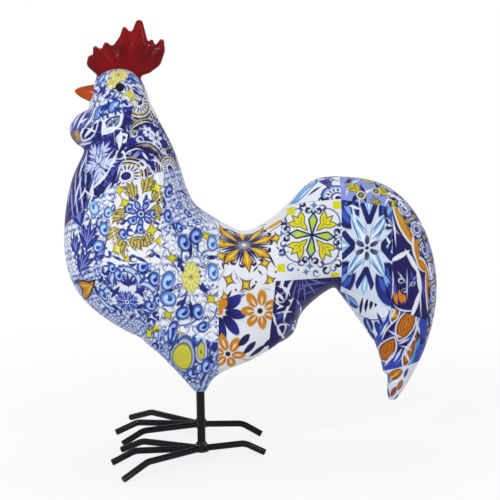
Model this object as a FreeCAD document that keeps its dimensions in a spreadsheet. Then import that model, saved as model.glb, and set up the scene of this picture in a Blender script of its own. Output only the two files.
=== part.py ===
"""Cast cockerel figurine standing on a pair of bent-rod feet.

The frame: +Z up, the beak points to -X, the cockerel's left side is -Y.
The origin lies on the floor, under the middle of the figure's length and width.
All lengths are in millimetres and all angles in degrees.
"""
import FreeCAD, Part
import Sketcher
import math
import os

from FreeCAD import Placement, Rotation, Vector

# Driving dimensions: the name of each cell and its value
SIZES = {
    # body casting
    "body_length": 257.0,
    "body_rise": 219.0,
    "body_width": 92.0,
    "throat_lobe_height": 30.0,
    "throat_lobe_depth": 28.0,
    "throat_lobe_width": 20.0,
    "throat_lobe_lean": -22.0,
    # comb
    "comb_length": 56.0,
    "comb_rise": 36.0,
    "comb_root_thickness": 12.0,
    "comb_edge_thickness": 5.0,
    "comb_edge_share": 0.0240,  # rounding of the rim, as a share of comb_length
    # beak
    "beak_length": 12.8,
    "beak_root_height": 14.4,
    "beak_embed": 6.0,
    "beak_lift": 9.0,
    "beak_curl_radius": 30.0,
    # eyes
    "eye_diameter": 5.2,
    "eye_proud": 1.2,
    # legs
    "leg_diameter": 5.6,
    "leg_clear_height": 48.9,
    "leg_embed": 42.0,
    "leg_forward": 38.0,
    "leg_half_gauge": 27.9,
    "leg_socket_clearance": 0.1,
    # thighs
    "thigh_rise": 64.0,
    "thigh_tip_wall": 1.2,
    # feet
    "toe_diameter": 4.5,
    "hub_height": 8.2,
    "knee_height": 9.2,
    "toe_bend_radius": 12.0,
    "toe_flat_depth": 0.35,
    "foot_turn_out": 7.5,
    "outer_toe_angle": 31.3,
    "middle_toe_angle": -1.6,
    "inner_toe_angle": -28.7,
    "rear_toe_angle": 181.9,
    "outer_toe_reach": 66.9,
    "middle_toe_reach": 61.7,
    "inner_toe_reach": 59.8,
    "rear_toe_reach": 44.2,
    "outer_toe_knee": 46.5,
    "middle_toe_knee": 46.0,
    "inner_toe_knee": 43.9,
    "rear_toe_knee": 30.5,
    "weld_diameter": 14.0,
    "weld_rise": 5.5,
    "weld_top_wall": 0.4,
    # one overrun for every tool that has to pass a surface
    "overrun": 10.0,
}

# Body sections from crown to tail tip, as shares of body_length and body_rise measured from the
# middle of the length and from the thigh tips. A row holds the back point (along, up), the
# front or under point (along, up) and the half width as a share of body_width.
BODY_SECTION_SHARES = [
    (-0.3427, 1.0010, -0.3427, 1.0010, 0.000),
    (-0.3304, 1.0000, -0.3549, 0.9995, 0.033),
    (-0.3109, 0.9927, -0.3774, 0.9918, 0.087),
    (-0.2942, 0.9785, -0.3973, 0.9763, 0.130),
    (-0.2755, 0.9384, -0.4117, 0.9411, 0.174),
    (-0.2611, 0.8859, -0.4235, 0.8859, 0.196),
    (-0.2362, 0.8233, -0.4273, 0.8119, 0.212),
    (-0.2008, 0.7384, -0.4397, 0.7406, 0.250),
    (-0.1786, 0.6470, -0.4778, 0.6543, 0.315),
    (-0.1537, 0.5735, -0.4992, 0.5160, 0.380),
    (-0.1089, 0.5329, -0.4969, 0.3854, 0.446),
    (-0.0693, 0.5032, -0.4549, 0.2744, 0.489),
    (-0.0319, 0.4800, -0.3393, 0.1703, 0.500),
    (0.0004, 0.4805, -0.1868, 0.1000, 0.500),
    (0.0272, 0.4991, -0.0374, 0.0890, 0.478),
    (0.0580, 0.5217, 0.0985, 0.1370, 0.435),
    (0.0780, 0.5420, 0.1170, 0.1980, 0.400),
    (0.1000, 0.5660, 0.1590, 0.2515, 0.365),
    (0.1358, 0.6110, 0.2152, 0.2959, 0.335),
    (0.1840, 0.6450, 0.2257, 0.2872, 0.318),
    (0.2646, 0.6445, 0.2366, 0.2708, 0.310),
    (0.3451, 0.6260, 0.2490, 0.2511, 0.304),
    (0.4101, 0.5721, 0.2638, 0.2278, 0.293),
    (0.4591, 0.4909, 0.2802, 0.1995, 0.280),
    (0.4895, 0.3872, 0.2992, 0.1644, 0.258),
    (0.5000, 0.2763, 0.3210, 0.1274, 0.228),
    (0.4860, 0.1553, 0.3377, 0.0808, 0.185),
    (0.4560, 0.0539, 0.3545, 0.0137, 0.130),
    (0.4179, -0.0330, 0.3600, -0.0449, 0.080),
    (0.3930, -0.0790, 0.3700, -0.0820, 0.035),
    (0.3790, -0.0860, 0.3790, -0.0860, 0.000),
]
RING_POINTS = 10

# Thigh sections from the leg up, level with the floor: height as a share of thigh_rise, the
# middle's offset from the leg along body_length, half length, offset from the leg towards the
# flank as a share of body_width, and half width.
THIGH_SECTION_SHARES = [
    (0.127, -0.0051, 0.0362, 0.000, 0.087),
    (0.236, 0.0021, 0.0660, 0.000, 0.130),
    (0.330, 0.0243, 0.1099, -0.008, 0.168),
    (0.455, 0.0379, 0.1527, -0.016, 0.201),
    (0.580, 0.0389, 0.1907, -0.028, 0.223),
    (0.767, 0.0311, 0.2023, -0.045, 0.228),
    (1.000, 0.0311, 0.1790, -0.080, 0.196),
]

# Centre of the throat lobe, root of the beak and height of the eyes, as (along, up) shares
THROAT_LOBE_SHARES = (-0.4200, 0.8170)
BEAK_ROOT_SHARES = (-0.4105, 0.9210)
EYE_SHARES = (-0.3390, 0.9420)

# Corners of the comb's outline: along comb_length and up comb_rise from the crown, and the
# rounding of the corner as a share of comb_length. The last two lie inside the head.
CROWN_SHARES = (-0.3427, 1.0000)
COMB_FOOT_SHARE = -0.45
COMB_TOP_SHARE = 1.10
COMB_CORNER_SHARES = [
    (-0.263, -0.136, 0.012),
    (-0.391, 0.045, 0.079),
    (-0.363, 0.216, 0.037),
    (-0.305, 0.250, 0.012),
    (-0.299, 0.429, 0.027),
    (-0.199, 0.340, 0.024),
    (-0.154, 0.505, 0.034),
    (-0.069, 0.386, 0.037),
    (0.021, 0.570, 0.097),
    (0.074, 0.790, 0.028),
    (0.161, 0.624, 0.030),
    (0.273, 1.033, 0.046),
    (0.359, 0.460, 0.018),
    (0.412, 0.533, 0.022),
    (0.444, 0.388, 0.018),
    (0.546, 0.592, 0.032),
    (0.562, 0.288, 0.146),
    (0.502, 0.030, 0.122),
    (0.373, -0.116, 0.122),
    (0.243, -0.172, 0.012),
    (0.120, -0.420, 0.032),
    (-0.170, -0.420, 0.032),
]

SIDES = {"left": -1, "right": 1}


def make_sheet(doc):
    """One row for each driving dimension: its name and its value, with the name as alias."""
    sheet = doc.addObject("Spreadsheet::Sheet", "Sizes")
    for row, (name, value) in enumerate(SIZES.items(), start=1):
        sheet.set("A%d" % row, name)
        sheet.set("B%d" % row, str(value))
        sheet.setAlias("B%d" % row, name)
    doc.recompute()
    return sheet


def body_spot(sheet, along_share, up_share):
    """A point of the middle plane from shares of the body's length and rise."""
    x = along_share * sheet.body_length
    z = sheet.leg_clear_height + up_share * sheet.body_rise
    return Vector(x, 0, z)


def ring(centre, half_span, half_width):
    """Control points whose closed cubic spline is an ellipse about a centre.

    half_span is a vector and half_width runs along Y. A uniform cubic spline through n points
    of a circle runs at (2 + cos(360/n)) / 3 of their radius, so the points stand that much out.
    """
    stand_out = 3 / (2 + math.cos(2 * math.pi / RING_POINTS))
    points = []
    for step in range(RING_POINTS):
        turn = 2 * math.pi * step / RING_POINTS
        offset = half_span * math.cos(turn) + Vector(0, half_width * math.sin(turn), 0)
        points.append(centre + offset * stand_out)
    return points


def poles_through(rows):
    """Control points of a smooth surface that passes close to the rows.

    Between the end rows, a control point is 4/3 of its own point less 1/6 of each neighbour's,
    which a uniform cubic spline smooths back to the point.
    """
    poles = [rows[0]]
    for before, here, after in zip(rows, rows[1:], rows[2:]):
        poles.append([b * (4 / 3) - (a + c) / 6 for a, b, c in zip(before, here, after)])
    poles.append(rows[-1])
    return poles


def skin_solid(rows, capped):
    """A solid whose side is one smooth skin through the rows.

    A capped skin ends in flat faces; the end rows of the other kind are each a single point.
    """
    poles = poles_through(rows)
    spans = len(poles) - 3
    along_knots = list(range(spans + 1))
    along_mults = [4] + [1] * (spans - 1) + [4]
    round_knots = list(range(RING_POINTS + 1))
    round_mults = [1] * (RING_POINTS + 1)
    surface = Part.BSplineSurface()
    surface.buildFromPolesMultsKnots(poles, along_mults, round_mults, along_knots, round_knots,
                                     False, True, 3, 3)
    faces = [surface.toShape()]
    if capped:
        for end in (along_knots[0], along_knots[-1]):
            faces.append(Part.Face(Part.Wire(surface.uIso(end).toShape())))
    solid = Part.Solid(Part.Shell(faces))
    if solid.Volume < 0:
        solid.reverse()
    return solid


def make_trunk(doc, sheet):
    """Head, neck, breast, saddle and tail: one skin whose sections fan out round the saddle."""
    rows = []
    for back_along, back_up, front_along, front_up, half_width in BODY_SECTION_SHARES:
        back = body_spot(sheet, back_along, back_up)
        front = body_spot(sheet, front_along, front_up)
        rows.append(ring((back + front) / 2, (back - front) / 2, half_width * sheet.body_width))
    trunk = doc.addObject("Part::Feature", "Trunk")
    trunk.Shape = skin_solid(rows, capped=False)
    return trunk


def make_thigh(doc, sheet, side):
    """A thigh: level sections that widen from the leg rod up into the belly."""
    leg = Vector(-sheet.leg_forward, SIDES[side] * sheet.leg_half_gauge, sheet.leg_clear_height)
    tip_radius = sheet.leg_diameter / 2 + sheet.leg_socket_clearance + sheet.thigh_tip_wall
    rows = [ring(leg, Vector(tip_radius, 0, 0), tip_radius)]
    for up, offset, half_length, aside, half_width in THIGH_SECTION_SHARES:
        centre = leg + Vector(offset * sheet.body_length,
                              SIDES[side] * aside * sheet.body_width,
                              up * sheet.thigh_rise)
        half_span = Vector(half_length * sheet.body_length, 0, 0)
        rows.append(ring(centre, half_span, half_width * sheet.body_width))
    thigh = doc.addObject("Part::Feature", side.capitalize() + "Thigh")
    thigh.Shape = skin_solid(rows, capped=True)
    return thigh


def make_throat_lobe(doc):
    lobe = doc.addObject("Part::Ellipsoid", "ThroatLobe")
    lobe.Angle1 = -90
    lobe.Angle2 = 90
    lobe.Angle3 = 360
    lobe.setExpression("Radius1", "Sizes.throat_lobe_height / 2")
    lobe.setExpression("Radius2", "Sizes.throat_lobe_depth / 2")
    lobe.setExpression("Radius3", "Sizes.throat_lobe_width / 2")
    along, up = THROAT_LOBE_SHARES
    place_in_middle_plane(lobe, along, up)
    lobe.Placement.Rotation = Rotation(Vector(0, 1, 0), 0)
    lobe.setExpression("Placement.Rotation.Angle", "-Sizes.throat_lobe_lean")
    return lobe


def place_in_middle_plane(item, along_share, up_share):
    item.setExpression("Placement.Base.x", "%g * Sizes.body_length" % along_share)
    item.setExpression("Placement.Base.z", "Sizes.leg_clear_height + %g * Sizes.body_rise" % up_share)


def make_leg_cylinder(doc, name, side, clearance, bottom):
    """A cylinder on a leg's axis, from an expression for its bottom up to the embedded end."""
    rod = doc.addObject("Part::Cylinder", name)
    rod.setExpression("Radius", "Sizes.leg_diameter / 2 + " + clearance)
    rod.setExpression("Height", "Sizes.leg_clear_height + Sizes.leg_embed - (%s)" % bottom)
    rod.setExpression("Placement.Base.x", "-Sizes.leg_forward")
    rod.setExpression("Placement.Base.y", "%d * Sizes.leg_half_gauge" % SIDES[side])
    rod.setExpression("Placement.Base.z", bottom)
    return rod


def make_leg_rods(doc):
    """Rods that run from under the toes up into the thighs."""
    rods = {}
    for side in SIDES:
        bottom = "Sizes.hub_height - Sizes.toe_diameter / 2"
        rod = make_leg_cylinder(doc, side.capitalize() + "LegRod", side, "0", bottom)
        rod.Label = side + "_leg_rod"
        rods[side] = rod
    return rods


def make_leg_sockets(doc):
    return [make_leg_cylinder(doc, side.capitalize() + "LegSocket", side, "Sizes.leg_socket_clearance",
                              "Sizes.leg_clear_height - Sizes.overrun") for side in SIDES]


def surface_reach(form, sheet, x, z):
    """How far the form reaches along Y at one spot of the middle plane."""
    ray = Part.makeLine(Vector(x, 0, z), Vector(x, sheet.body_width, z))
    inside = form.Shape.common(ray)
    return inside.BoundBox.YMax


def make_eyes(doc, sheet, form):
    """Glass beads that stand proud of the head by eye_proud."""
    along, up = EYE_SHARES
    spot = body_spot(sheet, along, up)
    reach = surface_reach(form, sheet, spot.x, spot.z)
    eyes = {}
    for side in SIDES:
        bead = doc.addObject("Part::Sphere", side.capitalize() + "Eye")
        bead.setExpression("Radius", "Sizes.eye_diameter / 2")
        depth = reach - sheet.eye_diameter / 2 + sheet.eye_proud
        bead.Placement.Base = Vector(spot.x, SIDES[side] * depth, spot.z)
        bead.Label = side + "_eye"
        eyes[side] = bead
    return eyes


def make_body(doc, sheet):
    """The casting: trunk, thighs and throat lobe in one, with sockets for the legs and eyes."""
    parts = [make_trunk(doc, sheet)]
    parts += [make_thigh(doc, sheet, side) for side in SIDES]
    parts.append(make_throat_lobe(doc))
    form = doc.addObject("Part::MultiFuse", "BodyForm")
    form.Shapes = parts
    doc.recompute()
    eyes = make_eyes(doc, sheet, form)
    sockets = doc.addObject("Part::MultiFuse", "BodySockets")
    sockets.Shapes = make_leg_sockets(doc) + list(eyes.values())
    body = doc.addObject("Part::Cut", "Body")
    body.Base = form
    body.Tool = sockets
    body.Label = "body"
    return form, body, eyes


def seat_on_body(doc, name, label, blank, form):
    """A piece that ends where the body's surface begins."""
    piece = doc.addObject("Part::Cut", name)
    piece.Base = blank
    piece.Tool = form
    piece.Label = label
    return piece


def origin_plane(body, role):
    return next(item for item in body.Origin.OriginFeatures if item.Role == role)


def new_sketch(body, name, role):
    sketch = body.newObject("Sketcher::SketchObject", name)
    sketch.AttachmentSupport = [(origin_plane(body, role), "")]
    sketch.MapMode = "FlatFace"
    return sketch


def rounded_outline(corners):
    """A closed wire through corners (point, rounding radius): straight runs and tangent arcs."""
    count = len(corners)
    stretches = []
    for index, (corner, radius) in enumerate(corners):
        before = (corners[index - 1][0] - corner).normalize()
        after = (corners[(index + 1) % count][0] - corner).normalize()
        half_turn = before.getAngle(after) / 2
        set_back = radius / math.tan(half_turn)
        bisector = (before + after).normalize()
        centre = corner + bisector * (radius / math.sin(half_turn))
        middle = centre - bisector * radius
        stretches.append((corner + before * set_back, middle, corner + after * set_back))
    edges = []
    for index, (start, middle, end) in enumerate(stretches):
        edges.append(Part.Arc(start, middle, end).toShape())
        edges.append(Part.makeLine(end, stretches[(index + 1) % count][0]))
    return Part.Wire(edges)


def make_comb(doc, sheet, form):
    """A spiked comb: a rounded outline given thickness, thinner towards the spikes, with soft edges."""
    crown = body_spot(sheet, *CROWN_SHARES)
    corners = []
    for along, up, rounding in COMB_CORNER_SHARES:
        point = crown + Vector(along * sheet.comb_length, 0, up * sheet.comb_rise)
        corners.append((point, rounding * sheet.comb_length))
    outline = doc.addObject("Part::Feature", "CombOutline")
    outline.Shape = rounded_outline(corners)
    plate = doc.addObject("Part::Extrusion", "CombPlate")
    plate.Base = outline
    plate.DirMode = "Custom"
    plate.Dir = Vector(0, 1, 0)
    plate.Symmetric = True
    plate.Solid = True
    plate.setExpression("LengthFwd", "Sizes.comb_root_thickness")
    wedge = make_comb_wedge(doc, sheet, crown)
    tapered = doc.addObject("Part::Common", "CombTapered")
    tapered.Base = plate
    tapered.Tool = wedge
    doc.recompute()
    softened = doc.addObject("Part::Fillet", "CombSoftened")
    softened.Base = tapered
    rounding = sheet.comb_edge_share * sheet.comb_length
    softened.Edges = [(number, rounding, rounding) for number in rim_edges(tapered.Shape)]
    return seat_on_body(doc, "Comb", "comb", softened, form)


def rim_edges(shape):
    """Numbers of the edges round a plate's two largest faces."""
    sides = sorted(shape.Faces, key=lambda face: face.Area)[-2:]
    rim = [edge for face in sides for edge in face.OuterWire.Edges]
    return [number for number, edge in enumerate(shape.Edges, start=1)
            if any(edge.isSame(other) for other in rim)]


def make_comb_wedge(doc, sheet, crown):
    """A long wedge, thick below the crown and thin above the tallest spike."""
    wedge = doc.addObject("Part::Wedge", "CombWedge")
    for low, high in (("Xmin", "Xmax"), ("X2min", "X2max")):
        wedge.setExpression(low, "-Sizes.comb_length")
        wedge.setExpression(high, "Sizes.comb_length")
    wedge.Ymin = 0
    wedge.setExpression("Ymax", "%g * Sizes.comb_rise" % (COMB_TOP_SHARE - COMB_FOOT_SHARE))
    for low, high, size in (("Zmin", "Zmax", "root"), ("Z2min", "Z2max", "edge")):
        wedge.setExpression(low, "-Sizes.comb_%s_thickness / 2" % size)
        wedge.setExpression(high, "Sizes.comb_%s_thickness / 2" % size)
    base = crown + Vector(0, 0, COMB_FOOT_SHARE * sheet.comb_rise)
    wedge.Placement = Placement(base, Rotation(Vector(1, 0, 0), 90))
    return wedge


def make_beak(doc, sheet, form):
    """A round beak that curves to a point, turned about its own axis."""
    blank = doc.addObject("PartDesign::Body", "BeakBlank")
    sketch = new_sketch(blank, "BeakProfile", "XZ_Plane")
    tip = Vector(-sheet.beak_length, 0, 0)
    root = Vector(sheet.beak_embed, sheet.beak_root_height / 2, 0)
    curl = sheet.beak_curl_radius
    along = (root - tip)
    across = Vector(-along.y, along.x, 0).normalize()
    middle = (root + tip) / 2
    sagitta = curl - math.sqrt(curl ** 2 - (along.Length / 2) ** 2)
    arc = Part.Arc(tip, middle + across * sagitta, root)
    foot = Vector(root.x, 0, 0)
    outline, back_edge, axis_edge = 0, 1, 2
    sketch.addGeometry(arc, False)
    sketch.addGeometry(Part.LineSegment(root, foot), False)
    sketch.addGeometry(Part.LineSegment(foot, tip), False)
    arc_tip, arc_root = nearest_ends(sketch, outline, tip)
    sketch.addConstraint(Sketcher.Constraint("Coincident", outline, arc_root, back_edge, 1))
    sketch.addConstraint(Sketcher.Constraint("Coincident", back_edge, 2, axis_edge, 1))
    sketch.addConstraint(Sketcher.Constraint("Coincident", axis_edge, 2, outline, arc_tip))
    sketch.addConstraint(Sketcher.Constraint("Vertical", back_edge))
    sketch.addConstraint(Sketcher.Constraint("PointOnObject", back_edge, 2, -1))
    sketch.addConstraint(Sketcher.Constraint("PointOnObject", axis_edge, 2, -1))
    bind(sketch, Sketcher.Constraint("DistanceX", axis_edge, 2, -1, 1, sheet.beak_length), "Sizes.beak_length")
    bind(sketch, Sketcher.Constraint("DistanceX", -1, 1, back_edge, 1, root.x), "Sizes.beak_embed")
    bind(sketch, Sketcher.Constraint("DistanceY", -1, 1, back_edge, 1, root.y), "Sizes.beak_root_height / 2")
    bind(sketch, Sketcher.Constraint("Radius", outline, curl), "Sizes.beak_curl_radius")
    doc.recompute()
    turned = blank.newObject("PartDesign::Revolution", "BeakTurned")
    turned.Profile = sketch
    turned.ReferenceAxis = (sketch, ["H_Axis"])
    turned.Angle = 360
    blank.Tip = turned
    place_in_middle_plane(blank, *BEAK_ROOT_SHARES)
    blank.Placement.Rotation = Rotation(Vector(0, 1, 0), 0)
    blank.setExpression("Placement.Rotation.Angle", "Sizes.beak_lift")
    return seat_on_body(doc, "Beak", "beak", blank, form)


def new_box_below_floor(doc, sheet):
    """What a toe is ground off by: a slab whose top is the floor."""
    slab = doc.addObject("Part::Box", "BelowFloor")
    slab.setExpression("Length", "2 * Sizes.body_length")
    slab.setExpression("Width", "2 * Sizes.body_length")
    slab.setExpression("Height", "Sizes.overrun")
    slab.setExpression("Placement.Base.x", "-Sizes.body_length")
    slab.setExpression("Placement.Base.y", "-Sizes.body_length")
    slab.setExpression("Placement.Base.z", "-Sizes.overrun")
    return slab


def toe_path(blank, sheet, toe):
    """The bent centre line: a run from the hub to the knee, a bend, and a run down to the tip."""
    path = new_sketch(blank, blank.Name + "Path", "XZ_Plane")
    reach = getattr(sheet, toe + "_toe_reach")
    knee_along = getattr(sheet, toe + "_toe_knee")
    radius = sheet.toe_diameter / 2
    drop = math.atan2(sheet.knee_height - radius, reach - knee_along)
    hub = Vector(0, sheet.hub_height, 0)
    knee = Vector(knee_along, sheet.knee_height, 0)
    tip = Vector(reach, radius * math.cos(drop) - sheet.toe_flat_depth, 0)
    back = (hub - knee).normalize()
    down = (tip - knee).normalize()
    half_turn = back.getAngle(down) / 2
    set_back = sheet.toe_bend_radius / math.tan(half_turn)
    bisector = (back + down).normalize()
    centre = knee + bisector * (sheet.toe_bend_radius / math.sin(half_turn))
    start = knee + back * set_back
    end = knee + down * set_back
    path.addGeometry(Part.LineSegment(hub, start), False)
    path.addGeometry(Part.Arc(start, centre - bisector * sheet.toe_bend_radius, end), False)
    path.addGeometry(Part.LineSegment(end, tip), False)
    path.addGeometry(Part.Point(knee), True)
    first_run, bend, last_run, knee_point = 0, 1, 2, 3
    # the centre line is one chain, tangent at both ends of the bend
    bend_start, bend_end = nearest_ends(path, bend, start)
    path.addConstraint(Sketcher.Constraint("Tangent", first_run, 2, bend, bend_start))
    path.addConstraint(Sketcher.Constraint("Tangent", bend, bend_end, last_run, 1))
    path.addConstraint(Sketcher.Constraint("PointOnObject", knee_point, 1, first_run))
    path.addConstraint(Sketcher.Constraint("PointOnObject", knee_point, 1, last_run))
    bind(path, Sketcher.Constraint("DistanceX", -1, 1, knee_point, 1, knee.x), "Sizes.%s_toe_knee" % toe)
    bind(path, Sketcher.Constraint("DistanceY", -1, 1, knee_point, 1, knee.y), "Sizes.knee_height")
    bind(path, Sketcher.Constraint("DistanceY", -1, 1, first_run, 1, hub.y), "Sizes.hub_height")
    path.addConstraint(Sketcher.Constraint("PointOnObject", first_run, 1, -2))
    bind(path, Sketcher.Constraint("Radius", bend, sheet.toe_bend_radius), "Sizes.toe_bend_radius")
    bind(path, Sketcher.Constraint("DistanceX", -1, 1, last_run, 2, tip.x), "Sizes.%s_toe_reach" % toe)
    drop_text = "atan2(Sizes.knee_height - Sizes.toe_diameter / 2; Sizes.%s_toe_reach - Sizes.%s_toe_knee)"
    tip_text = "Sizes.toe_diameter / 2 * cos(%s) - Sizes.toe_flat_depth" % (drop_text % (toe, toe))
    bind(path, Sketcher.Constraint("DistanceY", -1, 1, last_run, 2, tip.y), tip_text)
    return path


def nearest_ends(sketch, arc, start):
    """The arc's two end numbers, the one at start first."""
    if sketch.getPoint(arc, 1).distanceToPoint(start) < sketch.getPoint(arc, 2).distanceToPoint(start):
        return 1, 2
    return 2, 1


def bind(sketch, constraint, expression):
    """Add a dimension to a sketch and tie it to an expression."""
    number = sketch.addConstraint(constraint)
    sketch.setExpression("Constraints[%d]" % number, expression)


def make_toe(doc, sheet, side, toe, neighbours, slab):
    """A bent rod, coped where it meets the leg rod and its neighbours, and ground flat below."""
    title = side.capitalize() + toe.capitalize()
    blank = doc.addObject("PartDesign::Body", title + "ToeBlank")
    path = toe_path(blank, sheet, toe)
    doc.recompute()
    # the section stands square to the path's first run, so the runs are true cylinders
    profile = blank.newObject("Sketcher::SketchObject", title + "ToeProfile")
    profile.AttachmentSupport = [(path, "Edge1")]
    profile.MapMode = "NormalToEdge"
    circle = profile.addGeometry(Part.Circle(Vector(0, 0, 0), Vector(0, 0, 1), sheet.toe_diameter / 2), False)
    profile.addConstraint(Sketcher.Constraint("Coincident", circle, 3, -1, 1))
    bind(profile, Sketcher.Constraint("Diameter", circle, sheet.toe_diameter), "Sizes.toe_diameter")
    doc.recompute()
    pipe = blank.newObject("PartDesign::AdditivePipe", title + "ToePipe")
    pipe.Profile = profile
    pipe.Spine = path
    blank.Tip = pipe
    blank.setExpression("Placement.Base.x", "-Sizes.leg_forward")
    blank.setExpression("Placement.Base.y", "%d * Sizes.leg_half_gauge" % SIDES[side])
    blank.Placement.Rotation = Rotation(Vector(0, 0, 1), 0)
    # the toes fan out from straight ahead, which is -X, away from the middle plane
    turn = "Sizes.foot_turn_out + Sizes.%s_toe_angle" % toe
    blank.setExpression("Placement.Rotation.Angle", "180 + %d * (%s)" % (-SIDES[side], turn))
    tools = doc.addObject("Part::MultiFuse", title + "ToeCope")
    tools.Shapes = neighbours + [slab]
    toe_piece = doc.addObject("Part::Cut", title + "Toe")
    toe_piece.Base = blank
    toe_piece.Tool = tools
    toe_piece.Label = "%s_%s_toe" % (side, toe)
    return toe_piece


def make_foot(doc, sheet, side, rod, slab):
    """Four toes round a leg rod's lower end, and the weld that holds them."""
    title = side.capitalize()
    middle = make_toe(doc, sheet, side, "middle", [rod], slab)
    toes = [middle]
    for toe in ("outer", "inner", "rear"):
        toes.append(make_toe(doc, sheet, side, toe, [rod, middle], slab))
    bead = doc.addObject("Part::Cone", title + "WeldBlank")
    bead.setExpression("Radius1", "Sizes.weld_diameter / 2")
    bead.setExpression("Radius2", "Sizes.leg_diameter / 2 + Sizes.weld_top_wall")
    bead.setExpression("Height", "Sizes.weld_rise")
    bead.setExpression("Placement.Base.x", "-Sizes.leg_forward")
    bead.setExpression("Placement.Base.y", "%d * Sizes.leg_half_gauge" % SIDES[side])
    bead.setExpression("Placement.Base.z", "Sizes.hub_height")
    rods = doc.addObject("Part::MultiFuse", title + "FootRods")
    rods.Shapes = toes + [rod]
    weld = doc.addObject("Part::Cut", title + "Weld")
    weld.Base = bead
    weld.Tool = rods
    weld.Label = side + "_foot_weld"
    return toes + [weld]


def main():
    doc = FreeCAD.newDocument("Cockerel")
    sheet = make_sheet(doc)
    form, body, eyes = make_body(doc, sheet)
    comb = make_comb(doc, sheet, form)
    beak = make_beak(doc, sheet, form)
    rods = make_leg_rods(doc)
    slab = new_box_below_floor(doc, sheet)
    kept = [body, comb, beak] + list(eyes.values()) + list(rods.values())
    for side, rod in rods.items():
        kept += make_foot(doc, sheet, side, rod, slab)
    doc.recompute()
    write_parts(doc, kept)


def write_parts(doc, kept):
    """Check every object of the document, then write one file for each sub-part."""
    for item in doc.Objects:
        if "Invalid" in item.State or "Error" in item.State:
            raise RuntimeError("%s did not compute: %s" % (item.Name, item.State))
    for item in kept:
        if item.Shape.isNull() or not item.Shape.isValid():
            raise RuntimeError("%s has no valid shape" % item.Label)
    os.makedirs("parts", exist_ok=True)
    for item in kept:
        item.Shape.exportStep("parts/%s.step" % item.Label)
        box = item.Shape.BoundBox
        print("%-18s solids %d volume %9.1f  x %7.2f %7.2f  y %7.2f %7.2f  z %7.2f %7.2f" % (
            item.Label, len(item.Shape.Solids), item.Shape.Volume,
            box.XMin, box.XMax, box.YMin, box.YMax, box.ZMin, box.ZMax))


main()
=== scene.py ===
# %% [markdown]
# # A glossy cockerel in tile patchwork
#
# The figurine is a resin casting on steel rod legs. Its whole body wears a printed patchwork of
# painted-tile patterns under a clear coat. The comb, the beak and the eyes are plain gloss.
# The CAD model is loaded first and stays where it is. Everything here is in metres, +Z is up,
# the beak points to -X and the cockerel's left side, which the camera sees, is -Y.

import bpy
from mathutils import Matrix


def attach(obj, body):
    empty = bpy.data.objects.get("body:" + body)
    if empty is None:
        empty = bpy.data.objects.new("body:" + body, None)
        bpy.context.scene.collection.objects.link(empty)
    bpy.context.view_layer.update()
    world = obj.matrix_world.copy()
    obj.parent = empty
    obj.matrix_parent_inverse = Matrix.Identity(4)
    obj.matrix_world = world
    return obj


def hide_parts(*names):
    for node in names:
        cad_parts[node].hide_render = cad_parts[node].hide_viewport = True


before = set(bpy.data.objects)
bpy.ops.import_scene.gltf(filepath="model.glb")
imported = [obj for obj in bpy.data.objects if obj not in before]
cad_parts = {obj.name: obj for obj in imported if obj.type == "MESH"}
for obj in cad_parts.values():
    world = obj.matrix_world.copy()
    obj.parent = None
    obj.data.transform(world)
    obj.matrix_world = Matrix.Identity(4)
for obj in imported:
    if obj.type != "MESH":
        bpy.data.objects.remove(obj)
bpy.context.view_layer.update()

import math

import bmesh
import bpy
import numpy as np
from mathutils import Euler, Matrix, Vector
from mathutils.bvhtree import BVHTree

MM = 0.001

# %% [markdown]
# ## The casting's skin
#
# The body could be carved with a sculpting brush, but its form is simple: sections from the
# crown to the tail tip, fanned out round the saddle. So it is worked out as one smooth spline
# surface through those sections, with the thighs and the throat lobe as smaller surfaces of the
# same kind.

# %% Spline surfaces as arrays
def clamped_basis(count, at):
    """Weights of `count` control points of a cubic spline that starts and ends on its end ones.

    Each weight is the piecewise cubic that the spline's recursion gives: a level-k weight is the
    two level-(k-1) weights beside it, faded in and out along their own spans.
    """
    spans = count - 3
    knots = np.concatenate([np.zeros(3), np.arange(spans + 1), np.full(3, spans)])
    at = np.clip(at * spans, 0, spans - 1e-9)[:, None]
    weights = ((knots[:-1] <= at) & (at < knots[1:])).astype(float)
    for level in (1, 2, 3):
        low, high = knots[:-level - 1], knots[level + 1:]
        rise = knots[level:-1] - low
        fall = high - knots[1:-level]
        up = np.divide(at - low, rise, out=np.zeros_like(weights[:, :-1]), where=rise > 0)
        down = np.divide(high - at, fall, out=np.zeros_like(weights[:, :-1]), where=fall > 0)
        weights = up * weights[:, :-1] + down * weights[:, 1:]
    return weights


def closed_basis(count, at):
    """Weights of `count` control points of a closed, evenly spaced cubic spline.

    With x the distance to a control point along the ring, the weight is (4 - 6x² + 3x³)/6 up to
    1, (2 - x)³/6 up to 2 and nothing beyond.
    """
    half = count / 2
    x = np.abs((at[:, None] * count - np.arange(count) + half) % count - half)
    near = (4 - 6 * x ** 2 + 3 * x ** 3) / 6
    far = np.clip(2 - x, 0, None) ** 3 / 6
    return np.where(x < 1, near, far)


RING_POINTS = 10
STAND_OUT = 3 / (2 + math.cos(2 * math.pi / RING_POINTS))


def skin_grid(centres, half_spans, half_widths, along, around):
    """Points of a smooth skin, along by around.

    A section is an ellipse: centre + half span · cos t + half width · sin t across. The rows are
    sharpened by 4/3 of their own point less 1/6 of each neighbour's, so that the spline through
    them passes close to the rows.
    """
    turns = 2 * np.pi * np.arange(RING_POINTS) / RING_POINTS
    across = half_widths[:, None, None] * np.array([0, 1, 0]) * np.sin(turns)[:, None]
    rows = centres[:, None] + STAND_OUT * (half_spans[:, None] * np.cos(turns)[:, None] + across)
    poles = rows.copy()
    poles[1:-1] = rows[1:-1] * 4 / 3 - (rows[:-2] + rows[2:]) / 6
    u = clamped_basis(len(rows), np.linspace(0, 1, along))
    v = closed_basis(RING_POINTS, np.arange(around) / around)
    return np.einsum("ur,rnk,vn->uvk", u, poles, v)


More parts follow.
